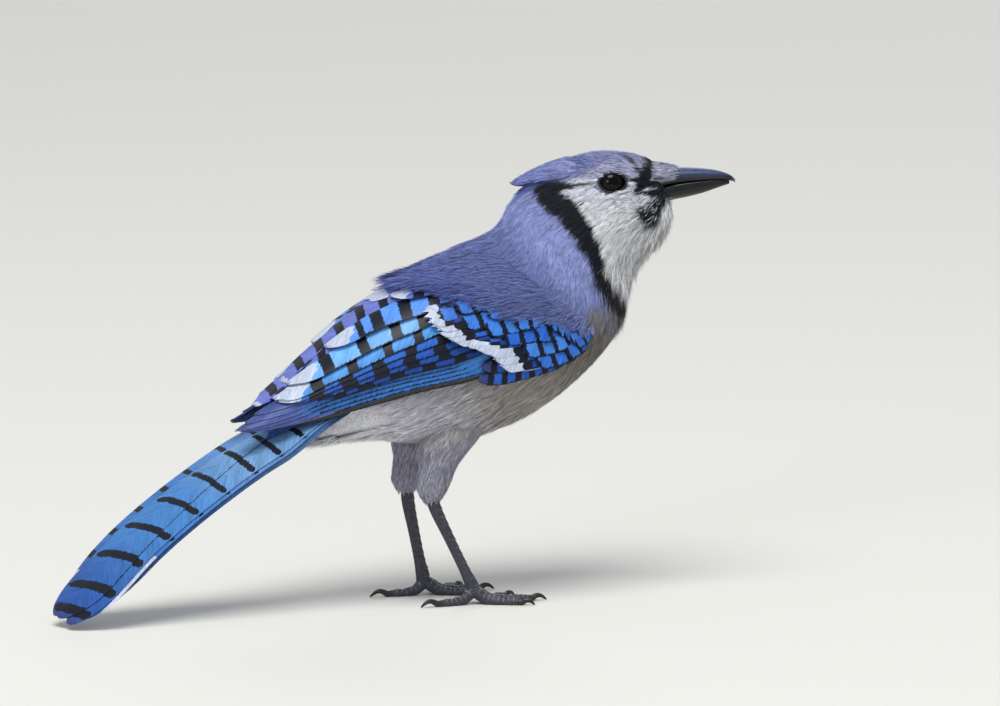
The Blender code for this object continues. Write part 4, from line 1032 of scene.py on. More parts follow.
def between(feathers, extra):
    """The same fan of feathers with extra ones put in between each two."""
    rows = np.array([[*root, *tip, width] for root, tip, width in feathers])
    number = np.linspace(0, len(rows) - 1, (len(rows) - 1) * (extra + 1) + 1)
    filled = np.stack([np.interp(number, np.arange(len(rows)), column) for column in rows.T], -1)
    return [((r[0], r[1]), (r[2], r[3]), r[4]) for r in filled]


def feather_width(t, tip_start, tip_width, root_width, full_at):
    """The share of its full width that a feather has at t: from root_width it widens up to full_at, and past
    tip_start it rounds off as a quarter of a circle does, but not below tip_width."""
    quill = root_width + (1 - root_width) * smoothstep(t / full_at)
    past = np.clip((t - tip_start) / (1 - tip_start), 0, 1)
    return quill * np.maximum(np.sqrt(np.maximum(1 - past**2, 0)), tip_width)


def web_grid(surface, root, tip, width, lift, tilt, rows, columns, flare=1.0, tip_start=0.75, tip_width=0.12,
             root_width=0.55, shaft=0.25, camber=0.3, ragged=0.02, full_at=0.35):
    """One feather's upper side: its shaft runs from root to tip on the surface, spreading early where flare
    is under 1. Across it the web slopes by tilt, bends down by camber times q^2, and rises in a narrow ridge
    at q = shaft. Gives points, millimetres from the root, millimetres to the tip, millimetres across
    and q."""
    t = 1 - (1 - np.linspace(0, 1, rows) ** 0.85) ** 1.15
    u = root[0] + (tip[0] - root[0]) * t
    v = root[1] + (tip[1] - root[1]) * t**flare
    along_u, along_v, steps = tangents(surface, u, v)
    run = along_u * (tip[0] - root[0]) + along_v * (tip[1] - root[1])
    normal = np.cross(along_u, along_v)
    du, dv = steps(unit(np.cross(normal, run)))
    half = width / 2 * feather_width(t, tip_start, tip_width, root_width, full_at)
    q = np.sin(np.linspace(-1, 1, columns) * math.pi / 2)[None, :]
    offsets = q * half[:, None]
    slope = tilt[0] + (tilt[1] - tilt[0]) * t[:, None]
    ridge = 0.16 * bell(q, shaft, 0.10) * (1 - t[:, None] ** 4)
    rise = lift[0] + (lift[1] - lift[0]) * t[:, None] + offsets * slope - camber * q**2 + ridge
    # The tip's barbs end unevenly, by up to ragged of the length.
    jag = np.abs(np.sin(np.arange(columns) * 2.4 + root[0] * 90 + root[1] * 50))[None, :]
    jag = -jag * ragged * t[:, None] ** 12
    run_u, run_v = (tip[0] - root[0]) * jag, (tip[1] - root[1]) * jag
    at_u = u[:, None] + offsets * du[:, None] + run_u
    at_v = v[:, None] + offsets * dv[:, None] + run_v
    grid = surface(at_u, at_v, rise)
    middle = grid[:, columns // 2]
    run_mm = np.concatenate([[0], np.cumsum(np.linalg.norm(np.diff(middle, axis=0), axis=1))])
    along = run_mm[:, None] + 0 * q
    return grid, along, run_mm[-1] - along, offsets + 0 * t[:, None], q + 0 * t[:, None]


def bars_gap(to_tip, across, bars, skew=0.0, curve=0.0):
    """Millimetres to the nearest bar's edge, under 0 inside it. Each bar is (millimetres from the tip, half
    its width), and it slants by skew and bends by curve."""
    place_along = to_tip + skew * across + curve * across**2
    gap = np.full(np.shape(place_along), 50.0)
    for centre, half in bars:
        gap = np.minimum(gap, np.abs(place_along - centre) - half)
    return gap


def sheet(grid, side, thickness=0.14):
    """A grid of points closed into a thin sheet: its back lies thickness under it. The left side is a mirror
    image, so there the faces turn the other way."""
    rows, columns = grid.shape[:2]
    du, dv = np.gradient(grid, axis=0), np.gradient(grid, axis=1)
    back = grid + side * unit(np.cross(dv, du)) * thickness
    total = rows * columns
    rim = np.concatenate([np.arange(columns), np.arange(1, rows) * columns + columns - 1,
                          (rows - 1) * columns + np.arange(columns - 2, -1, -1),
                          np.arange(rows - 2, 0, -1) * columns])
    after = np.roll(rim, -1)
    walls = np.stack([rim, after, after + total, rim + total], -1)
    faces = np.concatenate([grid_faces(rows, columns, flip=True), grid_faces(rows, columns, total), walls])
    faces = faces[:, ::-1] if side == RIGHT else faces
    return np.concatenate([grid.reshape(-1, 3), back.reshape(-1, 3)]), faces


class Feathers:
    """Collects finished feathers and makes one piece of them."""

    def __init__(self):
        self.points, self.faces, self.tints, self.marks, self.web, self.cells = [], [], [], [], [], []
        self.start = 0

    def add(self, grid, along, across, tint, bar_and_edge_shadow_gap, white_gap, inner_gap, side):
        """Adds one feather from its upper side, its colours, and millimetres to the edges of its dark bars and
        painted edge shadows, white tip and dark inner web."""
        points, faces = sheet(grid, side)
        number = len(self.points)
        self.points.append(points)
        self.faces.append(faces + self.start)
        self.start += len(points)
        marks = np.stack(np.broadcast_arrays(bar_and_edge_shadow_gap, white_gap, inner_gap), -1).reshape(-1, 3)
        web = np.stack(np.broadcast_arrays(along, across, number * 3.7), -1).reshape(-1, 3)
        tint = np.broadcast_to(tint, (*grid.shape[:2], 3)).reshape(-1, 3)
        back = marks.copy()
        back[:, 2] = np.minimum(back[:, 2], 1.0)
        # Under sides are greyer.
        self.tints += [tint, mixed(tint * 0.7, linear("#6a6f8c"), 0.5)]
        self.marks += [marks, back]
        self.web += [web, web]
        rows, columns = grid.shape[:2]
        i, j = np.meshgrid(np.linspace(0, 1, rows), np.linspace(0, 1, columns), indexing="ij")
        self.cells.append(np.stack([j, i], -1).reshape(-1, 2))

    def bake_map(self):
        """Each feather has a strip of the map, its upper side below and its under side above."""
        count = len(self.cells)
        maps = []
        for number, cell in enumerate(self.cells):
            u = (number + 0.05 + 0.9 * cell[:, 0]) / count
            maps += [np.stack([u, 0.01 + 0.68 * cell[:, 1]], -1), np.stack([u, 0.71 + 0.28 * cell[:, 1]], -1)]
        return np.concatenate(maps)

    def finish(self, name):
        """One piece of all the feathers."""
        fields = {"marks": np.concatenate(self.marks), "web": np.concatenate(self.web)}
        return mesh_piece(name, np.concatenate(self.points), [np.concatenate(self.faces)], WEB,
                          self.bake_map(), np.concatenate(self.tints), fields)


AZURE, ROYAL, DEEP = linear("#4a8ce0"), linear("#2460c4"), linear("#123f92")
SLATE, SHADE = linear("#3e4e8c"), linear("#34322f")
# Millimetres to the edge of a mark that isn't there: a white tip, and a bar or a dark web.
NO_WHITE, CLEAR = 50.0, 5.0
SECONDARY_COLOURS = [linear(code) for code in (
    "#143c88", "#174594", "#1a4ea6", "#225fba", "#4488d0", "#66a0de", "#4f86da", "#5f6cc2",
)]
# Each secondary's white tip, where its dark inner web starts, and its dark bars as (millimetres from the tip,
# half width).
SECONDARY_WHITE = (2.0, 2.0, 4.0, 9.0, 13.0, 12.0, 11.0, 7.5)
SECONDARY_INNER = (-0.45, -0.42, -0.40, -0.35, 2.0, 2.0, 2.0, 2.0)
SECONDARY_BARS = (
    ((6, 2.4), (15, 2.8), (26, 2.6), (37, 2.4), (48, 2.2), (58, 2.0)),
    ((5, 2.4), (14, 2.8), (25, 2.6), (36, 2.4), (47, 2.2), (58, 2.0)),
    ((7, 2.6), (18.9, 2.8), (29.9, 2.6), (40.3, 2.4), (51, 2.2), (62, 2.0)),
    ((11.5, 3.0), (22.1, 2.6), (33.7, 2.3), (45.7, 2.1), (57, 2.0)),
    ((14.6, 2.2), (27.7, 1.9), (40.8, 1.7), (51.9, 1.7), (63, 1.7)),
    ((14.9, 2.2), (28.4, 1.9), (40.4, 1.9), (50.2, 1.9), (60, 1.9)),
    ((12.6, 1.2), (18.9, 2.1), (29.0, 2.1), (39, 2.0), (48, 2.0)),
    ((9.5, 1.9), (18.5, 1.9), (28, 1.9), (37, 1.8)),
)


def periodic_bars(first, period, half, count):
    """Bars one period apart from the first on."""
    return [(first + k * period, half) for k in range(count)]


def build_wing(side, label):
    """A folded wing: primaries under secondaries under coverts, as shingles lie. Each feather shows a strip
    of its outer web, with a thin dark line along the edge: partly painted shadow between the overlapping
    feathers, partly the dark inner webs that show between them."""
    surface = wing_surface(side)
    quills, coverts = Feathers(), Feathers()

    # The left wing's point lies under the right one's.
    under = np.array((0.05, 0.10)) if side == LEFT else np.zeros(2)
    for k, (root, tip, width) in enumerate(between(PRIMARIES, 1)):
        tip = np.array(tip) - under * k / 6
        grid, along, to_tip, across, q = web_grid(
            surface, root, tip, width * 0.9, (-1.7 + 0.03 * k, -1.6 + 0.08 * k), (-0.10, -0.28), 90, 13,
            flare=2.0, shaft=-0.35)
        blue = mixed(linear("#2a68b4"), linear("#4a86cc"), smoothstep((q + 0.9) * 1.5))
        tint = mixed(blue, SLATE, smoothstep((30 - to_tip) / 14))
        tint = mixed(tint, linear("#7c88b8"), 0.5 * inside(q + 0.95, 0.05) * smoothstep((30 - to_tip) / 10))
        tint = mixed(tint, SHADE, smoothstep((-0.5 - q) / 0.2) * (k == 0))
        # The thin dark line along each primary's outer edge is partly painted shadow between overlapping
        # feathers, partly the dark inner webs between them.
        line = np.where(to_tip > 24, (q + 1) * width * 0.45 - 0.38, CLEAR)
        inner = np.where(to_tip > 30, (0.2 - q) * width / 2, CLEAR)
        quills.add(grid, along, across, tint, line, NO_WHITE, inner, side)
    for k, (root, tip, width, white) in enumerate(RIDGE_FEATHERS):
        grid, along, to_tip, across, q = web_grid(
            surface, root, tip, width, (-1.1 + 0.1 * k, -1.0 + 0.25 * k), (0, 0), 80, 13, shaft=0.1,
            camber=0.1)
        gap = bars_gap(to_tip, across, periodic_bars(white + 6.0, 8.6, 1.7, 8), skew=-0.25)
        quills.add(grid, along, across, linear("#6472c0"), gap, to_tip - white, CLEAR, side)
    for k, (root, tip, width, flare) in enumerate(SECONDARIES):
        grid, along, to_tip, across, q = web_grid(
            surface, root, tip, width, (-1.0 + 0.05 * k, -0.4 + 0.05 * k), (-0.16, -0.30), 110, 15,
            flare=flare, shaft=0.2, tip_start=0.86 if k < 5 else 0.8, ragged=0.03)
        white = SECONDARY_WHITE[k]
        gap = bars_gap(to_tip, across, SECONDARY_BARS[k], skew=-0.12)
        # The thin dark line along each secondary's outer edge is partly painted shadow between overlapping
        # feathers, partly the dark inner webs between them.
        gap = np.minimum(gap, np.where(to_tip > white + 1, (q + 1) * width / 2 - 0.40, CLEAR))
        shape = to_tip - white * (0.70 + 0.35 * np.cos(q * 1.9)) + 1.2 * np.abs(np.sin(q * 7))
        tint = mixed(SECONDARY_COLOURS[k], SECONDARY_COLOURS[k] * 1.3, smoothstep((q + 1) / 0.9) * 0.6)
        quills.add(grid, along, across, tint, gap, shape, (SECONDARY_INNER[k] - q) * width / 2, side)
    for root, tip, width in PRIMARY_COVERTS:
        grid, along, to_tip, across, q = web_grid(
            surface, root, tip, width, (-1.2, 0.0), (-0.12, -0.12), 60, 11)
        gap = bars_gap(to_tip, across, periodic_bars(4.2, 5.0, 1.1, 7), skew=-0.3)
        # The thin dark line along the outer edge is partly painted shadow between overlapping feathers, partly
        # the dark inner webs between them.
        gap = np.minimum(gap, (q + 1) * width / 2 - 0.35)
        tint = mixed(linear("#2f3c78"), ROYAL, smoothstep((to_tip - 3) / 4))
        coverts.add(grid, along, across, tint, gap, NO_WHITE, (0.6 - q) * width / 2, side)
    for root, tip, width in ALULA:
        grid, along, to_tip, across, q = web_grid(
            surface, root, tip, width, (-0.6, 0.9), (-0.12, -0.12), 60, 13)
        gap = bars_gap(to_tip, across, periodic_bars(9.0, 3.2, 0.4, 5), skew=-0.3)
        gap = np.where(q > -0.2, gap, CLEAR)
        tint = mixed(linear("#8fb0e0"), linear("#2f66b4"), smoothstep((q + 0.4) / 0.9))
        coverts.add(grid, along, across, tint, gap, NO_WHITE, (0.75 - q) * width / 2, side)
    for k, (root, tip, width) in enumerate(between(GREATER_COVERTS, 1)):
        grid, along, to_tip, across, q = web_grid(
            surface, root, tip, width, (-0.5, 1.5), (-0.18, -0.22), 44, 13, tip_start=0.82, tip_width=0.5,
            ragged=0.08)
        white = 9.5 if k < 3 else 6.4
        bars = ((white + 1.8, 1.9), (white + 9.5, 1.6), (white + 17, 1.6))
        gap = bars_gap(to_tip, across, bars, skew=-0.25)
        # The thin dark line along the outer edge is partly painted shadow between overlapping feathers, partly
        # the dark inner webs between them.
        gap = np.minimum(gap, np.where(to_tip > white, (q + 1) * width / 2 - 0.5, CLEAR))
        shape = to_tip - white + 0.9 * np.abs(np.sin(q * 6 + k))
        coverts.add(grid, along, across, (DEEP, ROYAL)[k % 2], gap, shape, (0.8 - q) * width / 2, side)
    # Blunt, nearly square patches of blue between slanting dark bars.
    rows = ((MEDIAN_COVERTS, (-0.4, 1.5), 6.2, 1.0), (LESSER_COVERTS, (-0.2, 1.6), 5.4, 0.9),
            (between(MARGINAL_COVERTS, 1), (-0.1, 1.6), 4.4, 0.7))
    for feathers, lift, patch, half in rows:
        for k, (root, tip, width) in enumerate(feathers):
            grid, along, to_tip, across, q = web_grid(
                surface, root, tip, width * 1.05, lift, (-0.16, -0.18), 40, 13, tip_start=0.84, tip_width=0.5,
                ragged=0.05)
            gap = bars_gap(to_tip, across, periodic_bars(0.1, patch, half, 4), skew=0.1)
            # The thin dark line along the outer edge is partly painted shadow between overlapping feathers,
            # partly the dark inner webs between them.
            gap = np.minimum(gap, (q + 1) * width / 2 - 0.45)
            tint = mixed(ROYAL, AZURE, 0.2 + 0.3 * (k % 2) + 0.2 * np.sin(k * 2.1))
            coverts.add(grid, along, across, tint, gap, NO_WHITE, (0.62 - q) * width / 2, side)
    quill_piece = quills.finish(f"wing_quills_{label}")
    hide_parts(f"wing_{label}")
    coverts.finish(f"wing_coverts_{label}")


# Where the small feathers' tips end on the pattern, and how far back from it their roots are.
PATTERN_EDGE = np.array([
    (0.0, -0.02), (0.035, 0.0), (0.07, 0.045), (0.12, 0.155), (0.185, 0.24), (0.245, 0.275), (0.285, 0.32),
    (0.305, 0.365), (0.348, 0.47), (0.388, 0.57), (0.43, 0.72), (0.46, 0.86), (0.48, 1.0),
])
PATTERN_REACH = 0.075


def build_wing_coat(side, label):
    """The small violet feathers over the wing's base, and the bed that they and the coverts lie on."""
    rng = np.random.default_rng(50 + side)
    surface = wing_surface(side)
    a, b = np.meshgrid(np.linspace(0.03, 0.42, 60), np.linspace(0.03, 0.984, 50), indexing="ij")
    rim = np.minimum(np.minimum(a - 0.03, 0.42 - a) * 40, np.minimum(b - 0.03, 0.984 - b) * 20)
    bed = surface(a, b, -1.6 - 5.0 * (1 - smoothstep(rim)))
    points, faces = sheet(bed, side, 0.6)
    tint = np.broadcast_to(MANTLE * 0.5, (len(points), 3))
    flat_map = np.stack([0.03 + 0.9 * b, 0.03 + 0.9 * a], -1).reshape(-1, 2)
    mesh_piece(f"wing_bed_{label}", points, [faces], SKIN,
               np.concatenate([flat_map, flat_map + [0, 0.5]]), tint)
    a, b = even_roots(surface, (-0.03, 0.02), (0.50, 0.98), 1500, 50)
    over = b - np.interp(a + PATTERN_REACH, *PATTERN_EDGE.T)
    a, b, over = a[over > 0], b[over > 0], over[over > 0]
    length = np.interp(a, [-0.03, 0.1, 0.5], [6, 9, 11]) * rng.uniform(0.85, 1.15, len(a))
    # Near the pattern they lie on top of the coverts.
    lift = 1.5 + 1.5 * (1 - smoothstep((over - 0.1) / 0.2))
    points, faces, where, spots, each = tufts(
        surface, a, b, length, length * 0.36, -0.2, lift, 13, 5, 0.30, rng)
    x, _, z = surface(*spots).T
    tints = tone_barbs(upper_blue(x, z), np.repeat(np.arange(len(a)), 13), each, rng)
    roots = np.stack([0.03 + 0.9 * b, 0.03 + 0.9 * (a + 0.03)], -1)
    mesh_piece(f"coat_shoulder_{label}", points, faces, BARBS, tuft_map(roots, where), tints)


# For each pair, left then right: the tip's millimetres out from the middle, its share of the tail's length,
# and the feather's width.
TAIL_FEATHERS = (
    ((-3.2, 0.977, 20.6), (10.2, 0.975, 14)), ((4.5, 0.885, 15), (10.5, 0.955, 16)),
    ((4.7, 0.88, 14.4), (10.6, 0.935, 15)), ((4.9, 0.865, 13.8), (10.8, 0.91, 14.4)),
    ((5.1, 0.85, 13.2), (11, 0.88, 14)), ((5.3, 0.82, 12.6), (11, 0.84, 13.6)),
)
# The bars cross all feathers in line: millimetres from the tail's end, and half widths. The left outer
# feathers have their own.
TAIL_BARS = (
    (5.5, 1.9), (16.0, 1.75), (29.5, 1.6), (42.2, 1.45), (55.2, 1.35), (68.5, 1.25), (81.1, 1.2), (91.7, 1.1),
    (101.5, 1.0), (111.0, 1.0),
)
TAIL_OUTER_BARS = (
    (25.0, 1.6), (34.9, 1.5), (46.0, 1.4), (56.6, 1.3), (66.1, 1.1), (79.5, 1.0), (91.0, 0.9), (102.0, 0.8),
)
# Each pair's white tip in millimetres.
TAIL_WHITE = (0, 8, 9, 11, 14, 17)
# Where the feathers start along the tail, and how far out across the top feather (q) its shaft lies.
TAIL_ROOT, TAIL_SHAFT = -0.2, 0.28


def build_tail():
    """The tail: twelve feathers fanned a little and stacked, the broad left middle one on top."""
    tail = Feathers()
    for k, pair in enumerate(TAIL_FEATHERS):
        for side, (out, share, width) in zip((LEFT, RIGHT), pair):
            on_top = k == 0 and side == LEFT
            outer_left = k > 0 and side == LEFT
            layer = 0.0 if on_top else -0.45 * (k + 1)
            root, tip = (TAIL_ROOT, 3.0 if on_top else side * (3.0 + 0.5 * k)), (share, side * out)
            grid, along, to_tip, across, q = web_grid(
                tail_point, root, tip, width, (layer, layer), (0, 0), 140, 15, flare=0.5 if on_top else 0.25,
                tip_start=0.88, tip_width=0.2, root_width=0.2 if on_top else 0.8,
                full_at=0.85 if on_top else 0.35, shaft=TAIL_SHAFT if on_top else 0.3 * side, camber=0.25,
                ragged=0.004)
            grid[..., 2] = np.maximum(grid[..., 2], 0.15)
            to_end = to_tip + (1 - share) * TAIL_LENGTH
            v = across + side * out
            bars = TAIL_OUTER_BARS if outer_left else TAIL_BARS
            skew = -0.05 if outer_left else np.interp(to_end, [55, 75], [0.27, 0.10])
            half = width / 2
            # Each bar is a crescent that thins out before the web's outer edge.
            gap = bars_gap(to_end, v, bars, skew=skew, curve=0.006)
            outer_edge, thin_from = (q, 0.66) if on_top else (-q, 0.84)
            gap = gap + 2.0 * smoothstep((outer_edge - thin_from) / (1 - thin_from)) * (not outer_left)
            tint = mixed(linear("#26519a"), linear("#3f78b8"), smoothstep((to_end - 12) / 34))
            tint = mixed(tint, linear("#6690be"), smoothstep((to_end - 55) / 30))
            tint = mixed(tint, linear("#343a70"), smoothstep((8 - to_end) / 6))
            tint = mixed(tint, linear("#2c5fae"), 0.4 if k else 0.0)
            if on_top:
                # A pale line is painted along the shaft, a painted sheen, and the shaft breaks the bars.
                from_shaft = np.abs(q - TAIL_SHAFT) * half
                tint = mixed(tint, linear("#86a6d6"), 0.4 * inside(from_shaft - 0.15, 0.2))
                gap = np.maximum(gap, 0.3 - from_shaft)
                gap = np.minimum(gap, (1 - np.abs(q)) * half - 0.2)
            shape = to_tip - TAIL_WHITE[k] + 1.0 * (1 + side * q) if k else NO_WHITE
            if k == 1 and side == RIGHT:
                shape = np.maximum(v + 17.0, np.abs(to_end - 23.5) - 13.5)
            tail.add(grid, along, across, tint, gap, shape, CLEAR, RIGHT)
    piece = tail.finish("tail_feathers")
    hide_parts("tail")


# The camera: degrees ahead of square and above level; its distance, the picture's width at the bird and the
# sensor's width in millimetres; and the millimetres that it aims to the right of and above the drawing's zero.
CAMERA_TURN, CAMERA_RISE = 22, 8
CAMERA_DISTANCE, PICTURE_WIDTH, SENSOR_WIDTH = 3000.0, 330.0, 36
AIM_RIGHT, AIM_UP = 9.9, 80.85
FLOOR_REACH = 12.0


def build_camera_and_light():
    """The camera looks at the right side from a little ahead of square and above. A large soft light hangs
    above, with a weaker one at the left and one behind, over a plain pale floor."""
    turn, rise = math.radians(CAMERA_TURN), math.radians(CAMERA_RISE)
    to_right = np.array([math.cos(turn), -math.sin(turn), 0.0])
    to_top = np.array([math.sin(turn) * math.sin(rise), math.cos(turn) * math.sin(rise), math.cos(rise)])
    to_camera = np.array([-math.sin(turn) * math.cos(rise), -math.cos(turn) * math.cos(rise), math.sin(rise)])
    aim = np.array([-ROW_X, 0, 0]) + AIM_RIGHT * to_right + AIM_UP * to_top
    camera = bpy.data.objects.new("camera", bpy.data.cameras.new("camera"))
    camera.data.sensor_width = SENSOR_WIDTH
    camera.data.lens = SENSOR_WIDTH * CAMERA_DISTANCE / PICTURE_WIDTH
    camera.data.clip_start, camera.data.clip_end = 0.1, 50
    axes = Matrix(np.stack([to_right, to_top, to_camera], 1).tolist()).to_4x4()
    axes.translation = Vector((aim + to_camera * CAMERA_DISTANCE) * MM)
    camera.matrix_world = axes
    bpy.context.scene.collection.objects.link(camera)
    bpy.context.scene.camera = camera

    floor_mesh = bpy.data.meshes.new("floor")
    corners = [(x * FLOOR_REACH, y * FLOOR_REACH, 0) for x, y in ((-1, -1), (1, -1), (1, 1), (-1, 1))]
    floor_mesh.from_pydata(corners, [], [(0, 1, 2, 3)])
    floor = bpy.data.objects.new("floor", floor_mesh)
    # Matt paper, which takes a soft shadow and gives no reflection.
    paper, _, _ = new_material("matt_backdrop_paper", Base_Color="#d9d8d4", Roughness=0.9,
                               Specular_IOR_Level=0.1)
    floor_mesh.materials.append(paper)
    bpy.context.scene.collection.objects.link(floor)

    for name, place_at, size, power, code in (
        ("softbox_above", (-0.8, -1.2, 3.2), 2.0, 105.0, "#fffdf8"),
        ("softbox_left", (-3.0, -2.6, 1.6), 1.4, 28.0, "#f2f6ff"),
        ("softbox_back", (2.2, 3.0, 2.2), 2.0, 30.0, "#ffffff"),
    ):
        lamp = bpy.data.lights.new(name, "AREA")
        lamp.shape, lamp.size, lamp.energy = "DISK", size, power
        lamp.color = tuple(linear(code))
        light = bpy.data.objects.new(name, lamp)
        light.location = place_at
        aim_at = Vector((0, 0, 0.07)) - Vector(place_at)
        light.rotation_euler = aim_at.to_track_quat("-Z", "Y").to_euler()
        bpy.context.scene.collection.objects.link(light)
    world = bpy.data.worlds.new("studio")
    world.use_nodes = True
    background = world.node_tree.nodes["Background"]
    background.inputs["Color"].default_value = (*linear("#dfe4ea"), 1)
    background.inputs["Strength"].default_value = 0.55
    bpy.context.scene.world = world
    bpy.context.scene.view_settings.view_transform = "Standard"


# Bill, eyes, legs

BILL_UPPER = np.array([
    (64.8, 142.2, 134.9, 5.0), (67, 142, 135.7, 4.7), (70, 141.7, 136.4, 4.1), (75, 141.5, 137, 3.3),
    (80, 141.2, 137.4, 2.6), (84.5, 140.5, 137.6, 1.9), (88, 139.2, 137.3, 1.1), (90, 137.6, 136.6, 0.35),
])
BILL_LOWER = np.array([
    (66.3, 135.5, 130.9, 4.5), (68.5, 136.1, 130.7, 4.1), (72, 136.7, 131.3, 3.5), (76, 137.1, 132.2, 2.85),
    (80, 137.4, 133.3, 2.25), (84.5, 137.6, 134.9, 1.6), (88, 137.3, 136.1, 0.8),
])
# The groove's place up each side, as the sine of its angle, with its reach and depth.
GROOVE_AT, GROOVE_REACH, GROOVE_DEPTH = 0.55, 0.12, 0.10
# The nostril's middle as (x, z), its reach along and up, and its depth.
NOSTRIL, NOSTRIL_REACH, NOSTRIL_DEPTH = (69.2, 139.2), (1.3, 0.7), 0.8


def build_bill():
    """Each half is rings along its rows of (x, top, bottom, half width): a keeled oval, narrower towards the
    culmen above or the keel below, with a nostril sunk in each side of the upper one."""
    for table, upper, name in ((BILL_UPPER, True, "bill_upper"), (BILL_LOWER, False, "bill_lower")):
        share = np.linspace(0, len(table) - 1, 96)
        x, top, bottom, width = np.moveaxis(catmull_rom(table, share), -1, 0)
        width = np.maximum(width, 0.05)
        angle = np.linspace(0, 2 * math.pi, 60, endpoint=False)
        up, out = np.sin(angle)[None], np.cos(angle)[None]
        keel = 1 - 0.30 * np.clip(up if upper else -up, 0, 1) ** 2
        # The side that meets the other half is cut nearly square, so that the two close along one fine line.
        meeting = up < 0 if upper else up > 0
        y = width[:, None] * np.sign(out) * np.abs(out) ** np.where(meeting, 0.3, 0.85) * keel
        z = ((top + bottom) / 2)[:, None] + ((top - bottom) / 2)[:, None] * np.sign(up) * np.abs(up) ** 0.95
        # A shallow groove runs above the cutting edge.
        groove = bell(up, -GROOVE_AT if upper else GROOVE_AT, GROOVE_REACH)
        y -= np.sign(out) * GROOVE_DEPTH * groove * (width[:, None] > 1)
        rings = np.stack([x[:, None] + 0 * up, y, z], -1)
        if upper:
            off_x = (rings[..., 0] - NOSTRIL[0]) / NOSTRIL_REACH[0]
            off_z = (rings[..., 2] - NOSTRIL[1]) / NOSTRIL_REACH[1]
            rings[..., 1] -= np.sign(rings[..., 1]) * NOSTRIL_DEPTH * np.exp(-(off_x**2 + off_z**2))
        points, faces = closed_tube(rings)
        # The upper half is painted bluish slate towards its top: a painted reflection of the sky on the black
        # horn. The rest is near-black.
        painted_sky_sheen, edge = linear("#3a486c"), linear("#06070b")
        high = np.clip((points[:, 2] - 137.6) / 3.6, 0, 1)
        tint = mixed(edge, painted_sky_sheen, smoothstep(high) if upper else 0.0 * high)
        tint = mixed(tint, linear("#9a9488"), smoothstep((points[:, 0] - 88.6) / 1.4) * 0.6)
        piece = mesh_piece(name + "_sheath", points, faces, BILL_HORN, colour=tint)
        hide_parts(name)


# In millimetres, the lids' outer half sizes, their thickness and their rim's radius; and the rim's beads.
LID_REACH = (6.3, 5.6)
LID_THICK = 0.42
RIM_RADIUS, RIM_BEADS = 0.24, 28
# Where the pupil and the iris end, as angles from the eye's axis.
PUPIL_EDGE, IRIS_EDGE = 0.36, 0.66


def lid_rings(share, drop):
    """Rings of the left eye's lids: an oval that grows by share from the opening (0) to the cheek (1). Each
    point lies on whichever is further out, the ball or the skin, blended softly, with fine folds round the
    opening; past 0.75 it sinks into the skin, and drop lowers all of it."""
    turn = np.linspace(0, 2 * math.pi, 144, endpoint=False)[None]
    share, drop = share[:, None], drop[:, None]
    corner = 1 + 0.06 * np.abs(np.cos(turn)) ** 6
    x = EYE_OPENING_AT[0] + (EYE_OPENING[0] + (LID_REACH[0] - EYE_OPENING[0]) * share) * np.cos(turn) * corner
    z = EYE_OPENING_AT[1] + (EYE_OPENING[1] + (LID_REACH[1] - EYE_OPENING[1]) * share) * np.sin(turn)
    cheek = coat_point(*on_side(x, z), -0.9)[..., 1]
    away = (x - EYE_CENTRE[0]) ** 2 + (z - EYE_CENTRE[2]) ** 2
    ball = EYE_CENTRE[1] + np.sqrt(np.maximum(EYE_RADIUS**2 - away, 1.0)) + 0.22
    y = (cheek + ball + np.hypot(cheek - ball, 0.5)) / 2
    folds = 0.07 * np.cos(6 * math.pi * share) * (1 - share)
    return np.stack([x, y + folds - drop - 1.0 * smoothstep((share - 0.75) / 0.25), z], -1)


